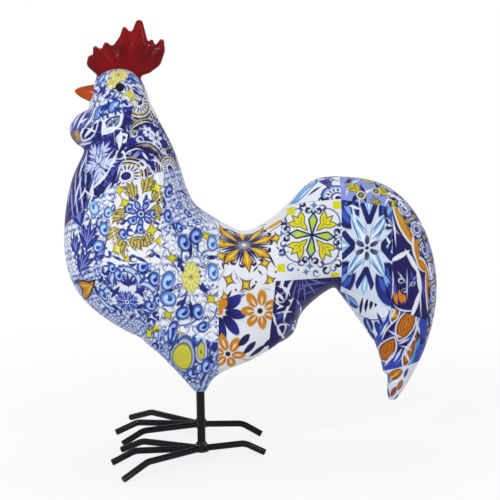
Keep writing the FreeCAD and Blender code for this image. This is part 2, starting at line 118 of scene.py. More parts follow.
def ring_faces(rows, around):
    """Quads between neighbouring rings of a grid whose rings are closed."""
    i, j = np.meshgrid(np.arange(rows - 1), np.arange(around), indexing="ij")
    k = (j + 1) % around
    quads = [i * around + j, i * around + k, (i + 1) * around + k, (i + 1) * around + j]
    return np.stack(quads, axis=-1).reshape(-1, 4).tolist()


def capped(grid):
    """Points and faces of a closed form: the grid's rings, with a fan to each end's middle."""
    rows, around = grid.shape[:2]
    points = np.vstack([grid.reshape(-1, 3), grid[0].mean(0), grid[-1].mean(0)])
    j = np.arange(around)
    k = (j + 1) % around
    first, last = rows * around, rows * around + 1
    top = np.stack([k, j, np.full(around, first)], axis=-1)
    end = (rows - 1) * around
    foot = np.stack([end + j, end + k, np.full(around, last)], axis=-1)
    return points, ring_faces(rows, around) + top.tolist() + foot.tolist()


SAME_POINT = 0.001 * MM


def new_piece(name, points, faces):
    """An object at the origin whose mesh is in place, with its faces turned outwards."""
    mesh = bpy.data.meshes.new(name)
    mesh.from_pydata(np.asarray(points).tolist(), [], list(faces))
    work = bmesh.new()
    work.from_mesh(mesh)
    bmesh.ops.remove_doubles(work, verts=work.verts, dist=SAME_POINT)
    bmesh.ops.recalc_face_normals(work, faces=work.faces)
    work.to_mesh(mesh)
    work.free()
    mesh.polygons.foreach_set("use_smooth", np.ones(len(mesh.polygons), dtype=bool))
    piece = bpy.data.objects.new(name, mesh)
    bpy.context.scene.collection.objects.link(piece)
    print(f"{name}: {len(mesh.vertices)} points, {len(mesh.polygons)} faces")
    return piece


# %% The trunk: head, neck, breast, saddle and tail
BODY_LENGTH, BODY_RISE, BODY_WIDTH, LEG_CLEAR = 257 * MM, 219 * MM, 92 * MM, 48.9 * MM
TRUNK_RINGS, TRUNK_AROUND = 260, 160

# each row: back point (along, up), front point (along, up), half width, as shares of the body
TRUNK_SECTIONS = np.array([
    (-0.3427, 1.0010, -0.3427, 1.0010, 0.000), (-0.3304, 1.0000, -0.3549, 0.9995, 0.033),
    (-0.3109, 0.9927, -0.3774, 0.9918, 0.087), (-0.2942, 0.9785, -0.3973, 0.9763, 0.130),
    (-0.2755, 0.9384, -0.4117, 0.9411, 0.174), (-0.2611, 0.8859, -0.4235, 0.8859, 0.196),
    (-0.2362, 0.8233, -0.4273, 0.8119, 0.212), (-0.2008, 0.7384, -0.4397, 0.7406, 0.250),
    (-0.1786, 0.6470, -0.4778, 0.6543, 0.315), (-0.1537, 0.5735, -0.4992, 0.5160, 0.380),
    (-0.1089, 0.5329, -0.4969, 0.3854, 0.446), (-0.0693, 0.5032, -0.4549, 0.2744, 0.489),
    (-0.0319, 0.4800, -0.3393, 0.1703, 0.500), (0.0004, 0.4805, -0.1868, 0.1000, 0.500),
    (0.0272, 0.4991, -0.0374, 0.0890, 0.478), (0.0580, 0.5217, 0.0985, 0.1370, 0.435),
    (0.0780, 0.5420, 0.1170, 0.1980, 0.400), (0.1000, 0.5660, 0.1590, 0.2515, 0.365),
    (0.1358, 0.6110, 0.2152, 0.2959, 0.335), (0.1840, 0.6450, 0.2257, 0.2872, 0.318),
    (0.2646, 0.6445, 0.2366, 0.2708, 0.310), (0.3451, 0.6260, 0.2490, 0.2511, 0.304),
    (0.4101, 0.5721, 0.2638, 0.2278, 0.293), (0.4591, 0.4909, 0.2802, 0.1995, 0.280),
    (0.4895, 0.3872, 0.2992, 0.1644, 0.258), (0.5000, 0.2763, 0.3210, 0.1274, 0.228),
    (0.4860, 0.1553, 0.3377, 0.0808, 0.185), (0.4560, 0.0539, 0.3545, 0.0137, 0.130),
    (0.4179, -0.0330, 0.3600, -0.0449, 0.080), (0.3930, -0.0790, 0.3700, -0.0820, 0.035),
    (0.3790, -0.0860, 0.3790, -0.0860, 0.000)])


def body_spot(along, up):
    """Points of the middle plane from shares of the body's length and rise."""
    along, up = np.asarray(along), np.asarray(up)
    return np.stack([along * BODY_LENGTH, 0 * along, LEG_CLEAR + up * BODY_RISE], axis=-1)


back = body_spot(TRUNK_SECTIONS[:, 0], TRUNK_SECTIONS[:, 1])
front = body_spot(TRUNK_SECTIONS[:, 2], TRUNK_SECTIONS[:, 3])
trunk_grid = skin_grid((back + front) / 2, (back - front) / 2, TRUNK_SECTIONS[:, 4] * BODY_WIDTH,
                       TRUNK_RINGS, TRUNK_AROUND)
trunk = new_piece("trunk", *capped(trunk_grid))

# %% The thighs and the throat lobe
LEG_FORWARD, LEG_GAUGE = 38 * MM, 27.9 * MM
THIGH_RISE, THIGH_TIP = 64 * MM, 4.1 * MM
THIGH_RINGS, THIGH_AROUND = 60, 120

# each row: height, the middle's offset along, half length, offset aside, half width, as shares
THIGH_SECTIONS = np.array([
    (0.127, -0.0051, 0.0362, 0.000, 0.087), (0.236, 0.0021, 0.0660, 0.000, 0.130),
    (0.330, 0.0243, 0.1099, -0.008, 0.168), (0.455, 0.0379, 0.1527, -0.016, 0.201),
    (0.580, 0.0389, 0.1907, -0.028, 0.223), (0.767, 0.0311, 0.2023, -0.045, 0.228),
    (1.000, 0.0311, 0.1790, -0.080, 0.196)])


def thigh_grid(side):
    """Level sections that widen from the leg rod up into the belly, on side -1 or 1."""
    up, offset, half_length, aside, half_width = THIGH_SECTIONS.T
    leg = np.array([-LEG_FORWARD, side * LEG_GAUGE, LEG_CLEAR])
    sections = [offset * BODY_LENGTH, side * aside * BODY_WIDTH, up * THIGH_RISE]
    centres = np.vstack([leg, leg + np.stack(sections, axis=-1)])
    lengths = np.concatenate([[THIGH_TIP], half_length * BODY_LENGTH])
    widths = np.concatenate([[THIGH_TIP], half_width * BODY_WIDTH])
    return skin_grid(centres, lengths[:, None] * np.array([1, 0, 0]), widths,
                     THIGH_RINGS, THIGH_AROUND)


def turned_level(x, y, z, angle):
    """Points turned about the y axis: x' = x cos a + z sin a, and z' = z cos a - x sin a."""
    cos, sin = math.cos(angle), math.sin(angle)
    return np.stack([x * cos + z * sin, y, z * cos - x * sin], axis=-1)


LOBE_MIDDLE, LOBE_LEAN, LOBE_TAPER = (-0.4200, 0.8170), math.radians(36), 0.25
LOBE_LENGTH, LOBE_WIDTH, LOBE_HEIGHT = 12.5 * MM, 9.5 * MM, 15 * MM  # half of each
LOBE_RINGS, LOBE_AROUND = 40, 64


def lobe_points():
    """A leaning drop: a latitude's ring shrinks by its cosine, and by the taper towards the top."""
    latitude = np.linspace(-np.pi / 2, np.pi / 2, LOBE_RINGS)[1:-1, None]
    turn = 2 * np.pi * np.arange(LOBE_AROUND) / LOBE_AROUND
    ring = (1 - LOBE_TAPER * np.sin(latitude)) * np.cos(latitude)
    x, y = LOBE_LENGTH * ring * np.cos(turn), LOBE_WIDTH * ring * np.sin(turn)
    z = LOBE_HEIGHT * np.sin(latitude) + 0 * turn
    return turned_level(x, y, z, LOBE_LEAN) + body_spot(*LOBE_MIDDLE)


thighs = [new_piece("thigh", *capped(thigh_grid(side))) for side in (-1, 1)]
lobe = new_piece("lobe", *capped(lobe_points()))

# %% [markdown]
# On the real bird the thighs and the lobe melt into the body, as they do in a mould. Joining the
# surfaces as they are would leave a sharp crease. Remeshing the lot on one fine grid joins them
# into a single closed skin, and a light smoothing then softens the creases.

# %% One skin
VOXEL = 1.25 * MM
SOFTEN_SHARE, SOFTEN_PASSES = 0.5, 5


def joined_skin(name, parts):
    """One closed mesh round all the parts, with soft joins."""
    bpy.ops.object.select_all(action="DESELECT")
    for other in parts:
        other.select_set(True)
    bpy.context.view_layer.objects.active = parts[0]
    bpy.ops.object.join()
    whole = parts[0]
    whole.name = whole.data.name = name
    remesh = whole.modifiers.new("one skin", "REMESH")
    remesh.mode, remesh.voxel_size, remesh.use_smooth_shade = "VOXEL", VOXEL, True
    soften = whole.modifiers.new("soft joins", "SMOOTH")
    soften.factor, soften.iterations = SOFTEN_SHARE, SOFTEN_PASSES
    bpy.ops.object.modifier_apply(modifier=remesh.name)
    bpy.ops.object.modifier_apply(modifier=soften.name)
    whole.select_set(False)
    print(f"{name}: {len(whole.data.polygons)} faces after joining")
    return whole


body_skin = joined_skin("body_skin", [trunk, *thighs, lobe])

# %% The steps at the inner edge of the tail's tip
# each row: the step's height, the height where it has run out, and its depth
TAIL_STEPS = ((76.5 * MM, 51.5 * MM, 0.9 * MM), (51.3 * MM, 32.0 * MM, 2.9 * MM))
STEP_EDGE = 1.5 * MM
TAIL_START, BAND = 75 * MM, 2 * MM  # the tail lies beyond this x; its edges are found band by band


def step_tail(piece):
    """Move the inner edge back below each step; the shift fades outwards and downwards."""
    points = np.empty(3 * len(piece.data.vertices))
    piece.data.vertices.foreach_get("co", points)
    points = points.reshape(-1, 3)
    tail = (points[:, 0] > TAIL_START) & (points[:, 2] < TAIL_STEPS[0][0])
    x, z = points[tail, 0], points[tail, 2]
    band = np.round(z / BAND).astype(int)
    levels = np.unique(band)
    inner = np.interp(z / BAND, levels, [x[band == level].min() for level in levels])
    outer = np.interp(z / BAND, levels, [x[band == level].max() for level in levels])
    across = 1 - (x - inner) / np.maximum(outer - inner, BAND)
    for top, bottom, depth in TAIL_STEPS:
        below = np.clip((top - z) / STEP_EDGE, 0, 1) * np.clip((z - bottom) / (top - bottom), 0, 1)
        points[tail, 0] += depth * below * np.clip(across, 0, 1)
    piece.data.vertices.foreach_set("co", points.ravel())
    piece.data.update()
    print(f"{piece.name}: {tail.sum()} points lie at the tail's tip")


step_tail(body_skin)

# %% [markdown]
# ## The patchwork's borders
#
# The print is a patchwork: pieces of different tile patterns that meet in straight lines. Each
# border is a flat cut through the skin, so the skin's own edges lie on it and the border is
# sharp at any zoom. A tree of cuts gives the pieces: each cut is two points of the side view,
# and what lies to its left is the first branch.

# %% The tree of cuts, in millimetres of the side view (x, z)
TIP = ((84.9, 56.8), (109.0, 63.2), "paisley", "tip")
TAIL = ((59.2, 179.7), (95.5, 173.5),
        ((88.1, 190.6), (118.7, 135.4), "rim", "crest_band"),
        ((94.2, 178.3), (93.1, 101.4),
         ((88.1, 190.6), (118.7, 135.4), "rim",
          ((119.4, 135.4), (119.2, 77.7), "rim",
           ((93.0, 104.2), (117.7, 94.6), "night_panel", TIP))),
         ((54.3, 122.5), (93.7, 101.4), "star",
          ((93.0, 104.2), (82.2, 78.7), TIP, "big_petals"))))
HEAD = ((-79.5, 243.0), (-68.7, 257.2), "head", "nape")
FRONT = ((-128.9, 165.6), (-89.5, 194.9), "ribbons_blue",
         ((-130.3, 129.0), (-100.6, 140.6), "sprays", "ochre_bud"))
SHOULDER = ((-103.3, 138.6), (-61.2, 139.6), "gold_leaves",
            ((-105.6, 107.8), (-62.3, 95.6), "medallion", "hem"))
FLANK = ((-62.8, 156.7), (-23.2, 168.0), "scroll_strip",
         ((-64.4, 95.0), (-24.7, 84.2), "volutes", "belly_disc"))
SADDLE = ((20.4, 179.9), (13.7, 122.1),
          ((21.0, 177.2), (61.2, 180.3), "fan_leaf",
           ((10.4, 124.9), (59.1, 126.5), "kites", "night_ribbons")),
          ((-26.9, 112.1), (17.1, 125.5), "gold_cross",
           ((14.4, 125.5), (10.4, 70.0), "night_ribbons", "orange_flowers")))
PATCHWORK = ((59.2, 179.7), (59.2, 126.5), TAIL,
             ((-114.6, 231.9), (-79.5, 243.0), HEAD,
              ((-79.5, 243.0), (-100.6, 140.6),
               ((-91.6, 191.0), (-48.3, 205.4), "nape",
                ((-59.6, 201.7), (-64.5, 89.5),
                 ((-23.2, 163.9), (-25.2, 56.9), SADDLE, FLANK), SHOULDER)),
               FRONT)))

# where the two sides meet: up to this x, the border between them lies at this y
MIDDLE_BORDERS = [(-0.098, 0.004), (-0.062, -0.006), (-0.030, 0.008), (0.004, -0.007),
                  (0.036, 0.006), (0.070, -0.005), (0.100, 0.005), (1.0, -0.003)]

# the cuts follow the camera's line of sight, so that they show as straight lines
FLANK_DEPTH = 30.0
SIGHT_ALONG, SIGHT_UP = -0.04, 0.187
SAME_PLANE = 0.0001 * MM


def cut_cell(work, faces, point, normal):
    """Cut the faces by a plane; give those on the normal's side, then the others."""
    geometry = set(faces)
    for face in faces:
        geometry.update(face.edges)
        geometry.update(face.verts)
    cut = bmesh.ops.bisect_plane(work, geom=list(geometry), plane_co=point, plane_no=normal,
                                 dist=SAME_PLANE)
    parts = {True: [], False: []}
    for item in cut["geom"]:
        if isinstance(item, bmesh.types.BMFace):
            parts[(item.calc_center_median() - point).dot(normal) > 0].append(item)
    return parts[True], parts[False]


def cut_tree(work, faces, tree, side, cells):
    """Follow the tree of cuts down to its named pieces, and write down each piece's faces."""
    if not faces:
        return
    if isinstance(tree, str):
        cells.setdefault((tree, side), []).extend(faces)
        return
    (xa, za), (xb, zb), first, second = tree
    start = Vector((xa, FLANK_DEPTH * side, za)) * MM
    run = Vector((xb - xa, 0, zb - za))
    across = Vector((SIGHT_ALONG * side, 1, SIGHT_UP * side))
    left, right = cut_cell(work, faces, start, run.cross(across).normalized())
    cut_tree(work, left, first, side, cells)
    cut_tree(work, right, second, side, cells)


def cut_patchwork(piece):
    """Cut a skin into the patchwork's pieces and number each face's piece as its material."""
    work = bmesh.new()
    work.from_mesh(piece.data)
    rest, sides = list(work.faces), {-1: [], 1: []}
    for until, middle in MIDDLE_BORDERS:
        rest, here = cut_cell(work, rest, Vector((until, 0, 0)), Vector((1, 0, 0)))
        right, left = cut_cell(work, here, Vector((until, middle, 0)), Vector((0, 1, 0)))
        sides[1] += right
        sides[-1] += left
    cells = {}
    for side, faces in sides.items():
        cut_tree(work, faces, PATCHWORK, side, cells)
    names = sorted(cells)
    for number, name in enumerate(names):
        for face in cells[name]:
            face.material_index = number
            face.smooth = True
    work.to_mesh(piece.data)
    work.free()
    print(f"{piece.name}: {len(names)} patches, {len(piece.data.polygons)} faces")
    return names


patch_names = cut_patchwork(body_skin)
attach(body_skin, "root")
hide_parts("body")

# %% [markdown]
# ## The camera
#
# The picture was taken from about a metre away with a long lens, a little above the bird, which
# turns its beak slightly towards the camera.

# %% The camera
PICTURE_WIDTH = 500  # pixels
FOCAL_LENGTH = 1472  # in pixels of the picture
SENSOR_WIDTH = 36.0
CAMERA_TURN, CAMERA_TILT, CAMERA_ROLL = (math.radians(v) for v in (2.44, 10.6, -0.85))
CAMERA_DISTANCE, CAMERA_HEIGHT, CAMERA_SHIFT = 1.0, 0.328, -0.0015


def make_camera():
    """A long lens, turned and tilted to the picture's line of sight."""
    lens = bpy.data.cameras.new("camera")
    lens.sensor_width, lens.lens = SENSOR_WIDTH, SENSOR_WIDTH * FOCAL_LENGTH / PICTURE_WIDTH
    lens.clip_start, lens.clip_end = 0.05, 20
    camera = bpy.data.objects.new("camera", lens)
    place = Vector((-CAMERA_DISTANCE * math.sin(CAMERA_TURN) + CAMERA_SHIFT,
                    -CAMERA_DISTANCE * math.cos(CAMERA_TURN), CAMERA_HEIGHT))
    facing = Euler((0, 0, -CAMERA_TURN)).to_matrix()
    tilted = facing @ Euler((math.pi / 2 - CAMERA_TILT, 0, 0)).to_matrix()
    rolled = tilted @ Euler((0, 0, CAMERA_ROLL)).to_matrix()
    camera.matrix_world = Matrix.Translation(place) @ rolled.to_4x4()
    bpy.context.scene.collection.objects.link(camera)
    bpy.context.scene.camera = camera
    return camera


camera = make_camera()

# %% Where a point of the object falls in the picture
def picture_spot(point):
    """Pixels from the left and the top of the picture, by the lens' own projection."""
    seen = camera.matrix_world.inverted() @ Vector(point)
    scale = FOCAL_LENGTH / -seen.z
    return PICTURE_WIDTH / 2 + seen.x * scale, PICTURE_WIDTH / 2 - seen.y * scale


LANDMARKS = {"eye": (-0.0871, -0.0155, 0.2552), "tail tip": (0.0974, 0, 0.0301),
             "hub": (-LEG_FORWARD, -LEG_GAUGE, 0.008)}
for label, point in LANDMARKS.items():
    print(label, "at", [round(v, 1) for v in picture_spot(point)])

# %% [markdown]
# ## The comb
#
# The comb is a thick plate with rounded spikes and soft flutes. Its outline is drawn once, as
# corners that are rounded by arcs. The plate then swells from that outline: the further a point
# lies from the edge, the thicker the comb is there, up to its full thickness.

# %% The comb's outline
CROWN = body_spot(-0.3427, 1.0)
COMB_LENGTH, COMB_RISE = 56 * MM, 36 * MM
COMB_MIDDLE = (0.20, -0.20)
ARC_STEPS = 9

# corners: along the comb's length and up its rise from the crown, and the rounding radius
COMB_CORNERS = np.array([
    (-0.263, -0.136, 0.040), (-0.391, 0.045, 0.123), (-0.363, 0.216, 0.057), (-0.305, 0.250, 0.019),
    (-0.299, 0.429, 0.042), (-0.199, 0.340, 0.038), (-0.154, 0.505, 0.053), (-0.069, 0.386, 0.057),
    (0.021, 0.570, 0.151), (0.074, 0.790, 0.043), (0.161, 0.624, 0.047), (0.273, 1.033, 0.072),
    (0.359, 0.460, 0.028), (0.412, 0.533, 0.034), (0.444, 0.388, 0.028), (0.546, 0.592, 0.049),
    (0.562, 0.288, 0.227), (0.502, 0.030, 0.189), (0.373, -0.116, 0.140), (0.275, -0.165, 0.020),
    (0.225, -0.420, 0.030), (-0.170, -0.420, 0.050), (-0.290, -0.260, 0.050)])


def rounded_outline(corners, step):
    """Points a step apart along straight runs and tangent arcs.

    An arc of radius r in a corner of half angle h starts r / tan h from the corner, and its
    centre lies r / sin h away from the corner, on the line that halves the angle.
    """
    spots, radii = corners[:, :2], corners[:, 2]
    before = np.roll(spots, 1, axis=0) - spots
    after = np.roll(spots, -1, axis=0) - spots
    before /= np.linalg.norm(before, axis=1)[:, None]
    after /= np.linalg.norm(after, axis=1)[:, None]
    half = np.arccos(np.clip((before * after).sum(1), -1, 1)) / 2
    set_back = (radii / np.tan(half))[:, None]
    halving = (before + after) / np.linalg.norm(before + after, axis=1)[:, None]
    centres = spots + halving * (radii / np.sin(half))[:, None]
    sweep = np.linspace(0, 1, ARC_STEPS)[:, None, None]
    first, last = spots + before * set_back - centres, spots + after * set_back - centres
    blend = (1 - sweep) * first + sweep * last
    arcs = centres + blend / np.linalg.norm(blend, axis=2)[:, :, None] * radii[:, None]
    chain = arcs.transpose(1, 0, 2).reshape(-1, 2)
    lengths = np.linalg.norm(np.roll(chain, -1, axis=0) - chain, axis=1)
    travel = np.concatenate([[0], np.cumsum(lengths)])
    closed = np.vstack([chain, chain[:1]])
    at = np.linspace(0, travel[-1], int(travel[-1] / step), endpoint=False)
    return np.stack([np.interp(at, travel, closed[:, i]) for i in (0, 1)], axis=1)


def comb_place(along, up):
    """Metres of the side view from shares of the comb's length and rise."""
    return np.stack([CROWN[0] + along * COMB_LENGTH, CROWN[2] + up * COMB_RISE], axis=-1)


def comb_outline(step):
    """The comb's rim in the side view, as points a step apart."""
    along, up, radius = COMB_CORNERS.T
    return rounded_outline(np.column_stack([comb_place(along, up), radius * COMB_RISE]), step)


def distance_to_chain(points, chain, closed=True):
    """Shortest distance of each point to a chain of straight runs, by each run's nearest point."""
    ends = np.roll(chain, -1, axis=0) if closed else chain[1:]
    starts = chain if closed else chain[:-1]
    run = ends - starts
    offset = points[:, None] - starts
    share = np.clip((offset * run).sum(2) / (run ** 2).sum(1), 0, 1)
    return np.linalg.norm(offset - share[..., None] * run, axis=2).min(1)


# %% The comb's surface
# each row: a flute's head and its foot, as shares of the comb's length and rise
FLUTES = [((-0.335, 0.235), (-0.20, 0.06)), ((-0.199, 0.340), (-0.10, 0.06)),
          ((-0.069, 0.386), (-0.01, 0.10)), ((0.161, 0.624), (0.10, 0.16)),
          ((0.359, 0.460), (0.27, 0.12)), ((0.444, 0.388), (0.34, 0.08))]
FLUTE_DEPTH, FLUTE_WIDTH = 1.5 * MM, 2.0 * MM
COMB_ROOT, COMB_FOOT_HALF, COMB_TOP, COMB_TOP_HALF = -0.45, 6.0 * MM, 1.1, 2.7 * MM
COMB_ROUNDING = 4.2 * MM
COARSE_STEP, FINE_STEP = 0.8 * MM, 0.42 * MM
COMB_LOOPS, CROWDING = 34, 1.7


def comb_half_thickness(flat):
    """Half the comb's thickness at points of the side view.

    It is a quarter ellipse of the distance to the edge, up to a full thickness that thins
    upwards, less a soft groove along each flute.
    """
    inwards = np.clip(distance_to_chain(flat, comb_outline(COARSE_STEP)) / COMB_ROUNDING, 0, 1)
    up = (flat[:, 1] - CROWN[2]) / COMB_RISE
    full = np.interp(up, [COMB_ROOT, COMB_TOP], [COMB_FOOT_HALF, COMB_TOP_HALF])
    half = full * np.sqrt(1 - (1 - inwards) ** 2)
    for head, foot in FLUTES:
        line = np.array([comb_place(*head), comb_place(*foot)])
        away = distance_to_chain(flat, line, closed=False)
        along = np.clip((flat[:, 1] - line[1, 1]) / (line[0, 1] - line[1, 1]), 0, 1)
        half -= FLUTE_DEPTH * along * np.exp(-(away / FLUTE_WIDTH) ** 2) * inwards
    return np.clip(half, 0, None)


def comb_points():
    """Two sheets over the side view, joined along the outline.

    A point is middle + k · (outline point - middle), with k from 0 to 1 and the half thickness
    to either side; the steps of k are finer near the edge.
    """
    outline, middle = comb_outline(FINE_STEP), comb_place(*COMB_MIDDLE)
    k = 1 - (1 - np.linspace(0, 1, COMB_LOOPS)[1:]) ** CROWDING
    flat = middle + k[:, None, None] * (outline - middle)
    half = comb_half_thickness(flat.reshape(-1, 2)).reshape(flat.shape[:2])
    half[-1] = 0
    sheet = np.stack([flat[..., 0], -half, flat[..., 1]], axis=-1)
    return np.concatenate([sheet, (sheet * [1, -1, 1])[-2::-1]])


comb = new_piece("comb_cast", *capped(comb_points()))
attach(comb, "root")
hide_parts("comb")

# %% [markdown]
# ## Beak and eyes
#
# The beak is a short cone with bulging sides and a hint of unevenness from the mould. The eyes
# are round beads, so the CAD model's own beads stay and only get a finish. A thin dark ring is
# laid round each of them further down, where the finishes are made.

# %% The beak
BEAK_LENGTH, BEAK_EMBED, BEAK_ROOT = 12.8 * MM, 8 * MM, 8.2 * MM
BEAK_PLACE, BEAK_LIFT = (-0.4105, 0.9210), math.radians(9)
BEAK_BULGE, BEAK_SPREAD, BEAK_UNEVEN = 0.54, 1.12, 0.015
BEAK_RINGS, BEAK_AROUND = 60, 96


def beak_points():
    """Rings along the beak's axis: the radius goes about with the root of the way to the tip."""
    share = 1 - (1 - np.linspace(0, 1, BEAK_RINGS)[:, None]) ** 2
    turn = 2 * np.pi * np.arange(BEAK_AROUND) / BEAK_AROUND
    x = BEAK_EMBED - share * (BEAK_LENGTH + BEAK_EMBED) + 0 * turn
    radius = BEAK_ROOT * (1 - share) ** BEAK_BULGE
    radius = radius * (1 + BEAK_UNEVEN * np.sin(3 * turn + 9 * share))
    y, z = BEAK_SPREAD * radius * np.cos(turn), radius * np.sin(turn)
    return turned_level(x, y, z, BEAK_LIFT) + body_spot(*BEAK_PLACE)


beak = new_piece("beak_cast", *capped(beak_points()))
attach(beak, "root")
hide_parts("beak")

# %% [markdown]
# ## Welds
#
# The toes are welded round the foot of each leg rod. A weld is a puddle that froze: a collar
# that climbs the rod, with ripples and lumps where the torch stopped.

# %% The weld beads
WELD_FOOT, WELD_RISE, WELD_RIPPLE = 6.4, 7.0, 0.3  # this cell counts in millimetres
WELD_INSIDE, PUDDLE_DEPTH, PUDDLE_PEAK, PUDDLE_FALL = 2.9, 3.7, 0.22, 1.6
WELD_RINGS, WELD_AROUND = 30, 72


def weld_points(side):
    """A collar round the leg rod: rings whose radius falls from the puddle to the rod.

    Lumps are sums of a few waves round the collar, strongest half way up.
    """
    share = np.linspace(0, 1, WELD_RINGS)[:, None]
    turn = 2 * np.pi * np.arange(WELD_AROUND) / WELD_AROUND
    swell = np.clip(1 - np.abs(share - PUDDLE_PEAK) / (1 - PUDDLE_PEAK), 0, 1)
    lumps = (0.45 * np.sin(3 * turn + side) + 0.3 * np.sin(5 * turn + 7 * share)
             + 0.2 * np.sin(9 * turn + 2))
    radius = WELD_INSIDE + PUDDLE_DEPTH * swell ** PUDDLE_FALL
    radius = radius + lumps * np.sin(np.pi * share) ** 0.7
    height = WELD_FOOT + share * WELD_RISE + WELD_RIPPLE * np.sin(4 * turn) * share
    points = np.stack([radius * np.cos(turn), radius * np.sin(turn), height], axis=-1)
    return points * MM + np.array([-LEG_FORWARD, side * LEG_GAUGE, 0])


for side, label in ((-1, "left"), (1, "right")):
    weld = new_piece(f"{label}_weld_bead", *capped(weld_points(side)))
    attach(weld, "root")
    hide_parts(f"{label}_foot_weld")

# %% [markdown]
# ## Floor and light
#
# The picture has a white ground and soft studio light. The floor and the world look white to the
# camera through the Light Path node, while the light that they send to the object stays level.

# %% Shading nodes
def add_node(tree, kind, *inputs, out=0, **settings):
    """One node with its inputs, which are sockets or plain values; gives one of its outputs."""
    made = tree.nodes.new("ShaderNode" + kind)
    for key, value in settings.items():
        setattr(made, key, value)
    for socket, value in zip(made.inputs, inputs):
        if isinstance(value, bpy.types.NodeSocket):
            tree.links.new(value, socket)
        elif value is not None:
            socket.default_value = value
    return made.outputs[out]


def white_to_the_camera(tree, shader, share):
    """Mix a shader with plain white, by a share, where it is seen, mirrored or through glass."""
    path = tree.nodes.new("ShaderNodeLightPath").outputs
    seen = path["Is Camera Ray"]
    for kind in ("Is Glossy Ray", "Is Transmission Ray"):
        seen = add_node(tree, "Math", seen, path[kind], operation="MAXIMUM")
    part = add_node(tree, "Math", seen, share, operation="MULTIPLY")
    return add_node(tree, "MixShader", part, shader, add_node(tree, "Emission", None, 1.0))


# %% Floor and light
FLOOR_REACH, FLOOR_COLOUR, FLOOR_ROUGHNESS = 3.0, (0.86, 0.86, 0.87, 1), 0.7
# the floor turns white from this far to that far away, and by how much at either end
FADE_START, FADE_STOP, NEAR_WHITE, FAR_WHITE = 0.10, 0.50, 0.82, 1.0
ROOM_COLOUR, ROOM_LEVEL = (0.96, 0.98, 1.0, 1), 0.5

# each lamp: name, place, the point it faces, width, height and power
LAMPS = [("key", (-0.70, -0.90, 0.95), (0, 0, 0.16), 0.10, 0.09, 6.0),
         ("fill", (0.90, -0.75, 0.55), (0, 0, 0.15), 0.05, 0.30, 2.0),
         ("strip", (-0.60, -0.95, 0.36), (-0.06, 0, 0.22), 0.035, 0.30, 1.3),
         ("top", (0.05, 0.25, 1.10), (0, 0, 0.15), 0.5, 0.3, 2.0)]


def make_floor():
    """A wide pale floor at the toes' height; its shadow fades out half a metre away."""
    mesh = bpy.data.meshes.new("floor")
    corners = [(x * FLOOR_REACH, y * FLOOR_REACH, 0) for x,
               y in ((-1, -1), (1, -1), (1, 1), (-1, 1))]
    mesh.from_pydata(corners, [], [(0, 1, 2, 3)])
    floor = bpy.data.objects.new("floor", mesh)
    bpy.context.scene.collection.objects.link(floor)
    paint = bpy.data.materials.new("pale_floor")
    paint.use_nodes = True
    tree = paint.node_tree
    surface = tree.nodes["Principled BSDF"]
    surface.inputs["Base Color"].default_value = FLOOR_COLOUR
    surface.inputs["Roughness"].default_value = FLOOR_ROUGHNESS
    place = add_node(tree, "TexCoord", out="Object")
    away = add_node(tree, "VectorMath", place, out="Value", operation="LENGTH")
    fade = add_node(tree, "MapRange", away, FADE_START, FADE_STOP, NEAR_WHITE, FAR_WHITE,
                    interpolation_type="SMOOTHSTEP")
    shown = white_to_the_camera(tree, surface.outputs[0], fade)
    tree.links.new(shown, tree.nodes["Material Output"].inputs[0])
    mesh.materials.append(paint)


def make_world():
    """An even white room: plain white to the camera, softer as light."""
    world = bpy.data.worlds.new("studio")
    bpy.context.scene.world = world
    world.use_nodes = True
    tree = world.node_tree
    room = tree.nodes["Background"]
    room.inputs["Color"].default_value = ROOM_COLOUR
    room.inputs["Strength"].default_value = ROOM_LEVEL
    shown = white_to_the_camera(tree, room.outputs[0], 1.0)
    tree.links.new(shown, tree.nodes["World Output"].inputs[0])


def soft_box(name, place, aim, width, height, power):
    """A rectangular lamp that faces a point of the object."""
    lamp = bpy.data.lights.new(name, "AREA")
    lamp.shape, lamp.size, lamp.size_y, lamp.energy = "RECTANGLE", width, height, power
    holder = bpy.data.objects.new(name, lamp)
    holder.location = place
    holder.rotation_euler = (Vector(aim) - Vector(place)).to_track_quat("-Z", "Y").to_euler()
    bpy.context.scene.collection.objects.link(holder)


make_floor()
make_world()
for lamp in LAMPS:
    soft_box(*lamp)
bpy.context.scene.view_settings.view_transform = "Standard"

# %% [markdown]
# ## Finishes
#
# Every finish has a thin clear gloss coat. Plain enamel still isn't one flat colour: it pools
# darker in the hollows and has a slight ripple, which the highlights show.

# %% Plain finishes
def srgb(text):
    """A colour as the renderer counts it, from its usual six-digit form."""
    values = np.array([int(text[i:i + 2], 16) for i in (0, 2, 4)]) / 255
    linear = np.where(values <= 0.04045, values / 12.92, ((values + 0.055) / 1.055) ** 2.4)
    return (*linear.tolist(), 1.0)


UNDER_COAT_SPECULAR = 0.05


def new_paint(name, roughness, coat, coat_roughness):
    """A material with its levels set; gives the material, its tree and its surface."""
    paint = bpy.data.materials.new(name)
    paint.use_nodes = True
    surface = paint.node_tree.nodes["Principled BSDF"]
    surface.inputs["Roughness"].default_value = roughness
    surface.inputs["Specular IOR Level"].default_value = UNDER_COAT_SPECULAR
    surface.inputs["Coat Weight"].default_value = coat
    surface.inputs["Coat Roughness"].default_value = coat_roughness
    return paint, paint.node_tree, surface


def ripple_on(tree, place, dented, scale, detail, strength, depth):
    """Noise on a place, and a bump from it into a normal socket; gives the noise's output."""
    noise = add_node(tree, "TexNoise", place, None, scale, detail)
    bump = tree.nodes.new("ShaderNodeBump")
    bump.inputs["Strength"].default_value = strength
    bump.inputs["Distance"].default_value = depth
    tree.links.new(noise, bump.inputs["Height"])
    tree.links.new(bump.outputs[0], dented)
    return noise


ENAMEL_COAT_ROUGHNESS, ENAMEL_DETAIL, ENAMEL_DEPTH = 0.06, 3, 0.4 * MM
SHADES_FROM, SHADES_TO = 0.35, 0.65


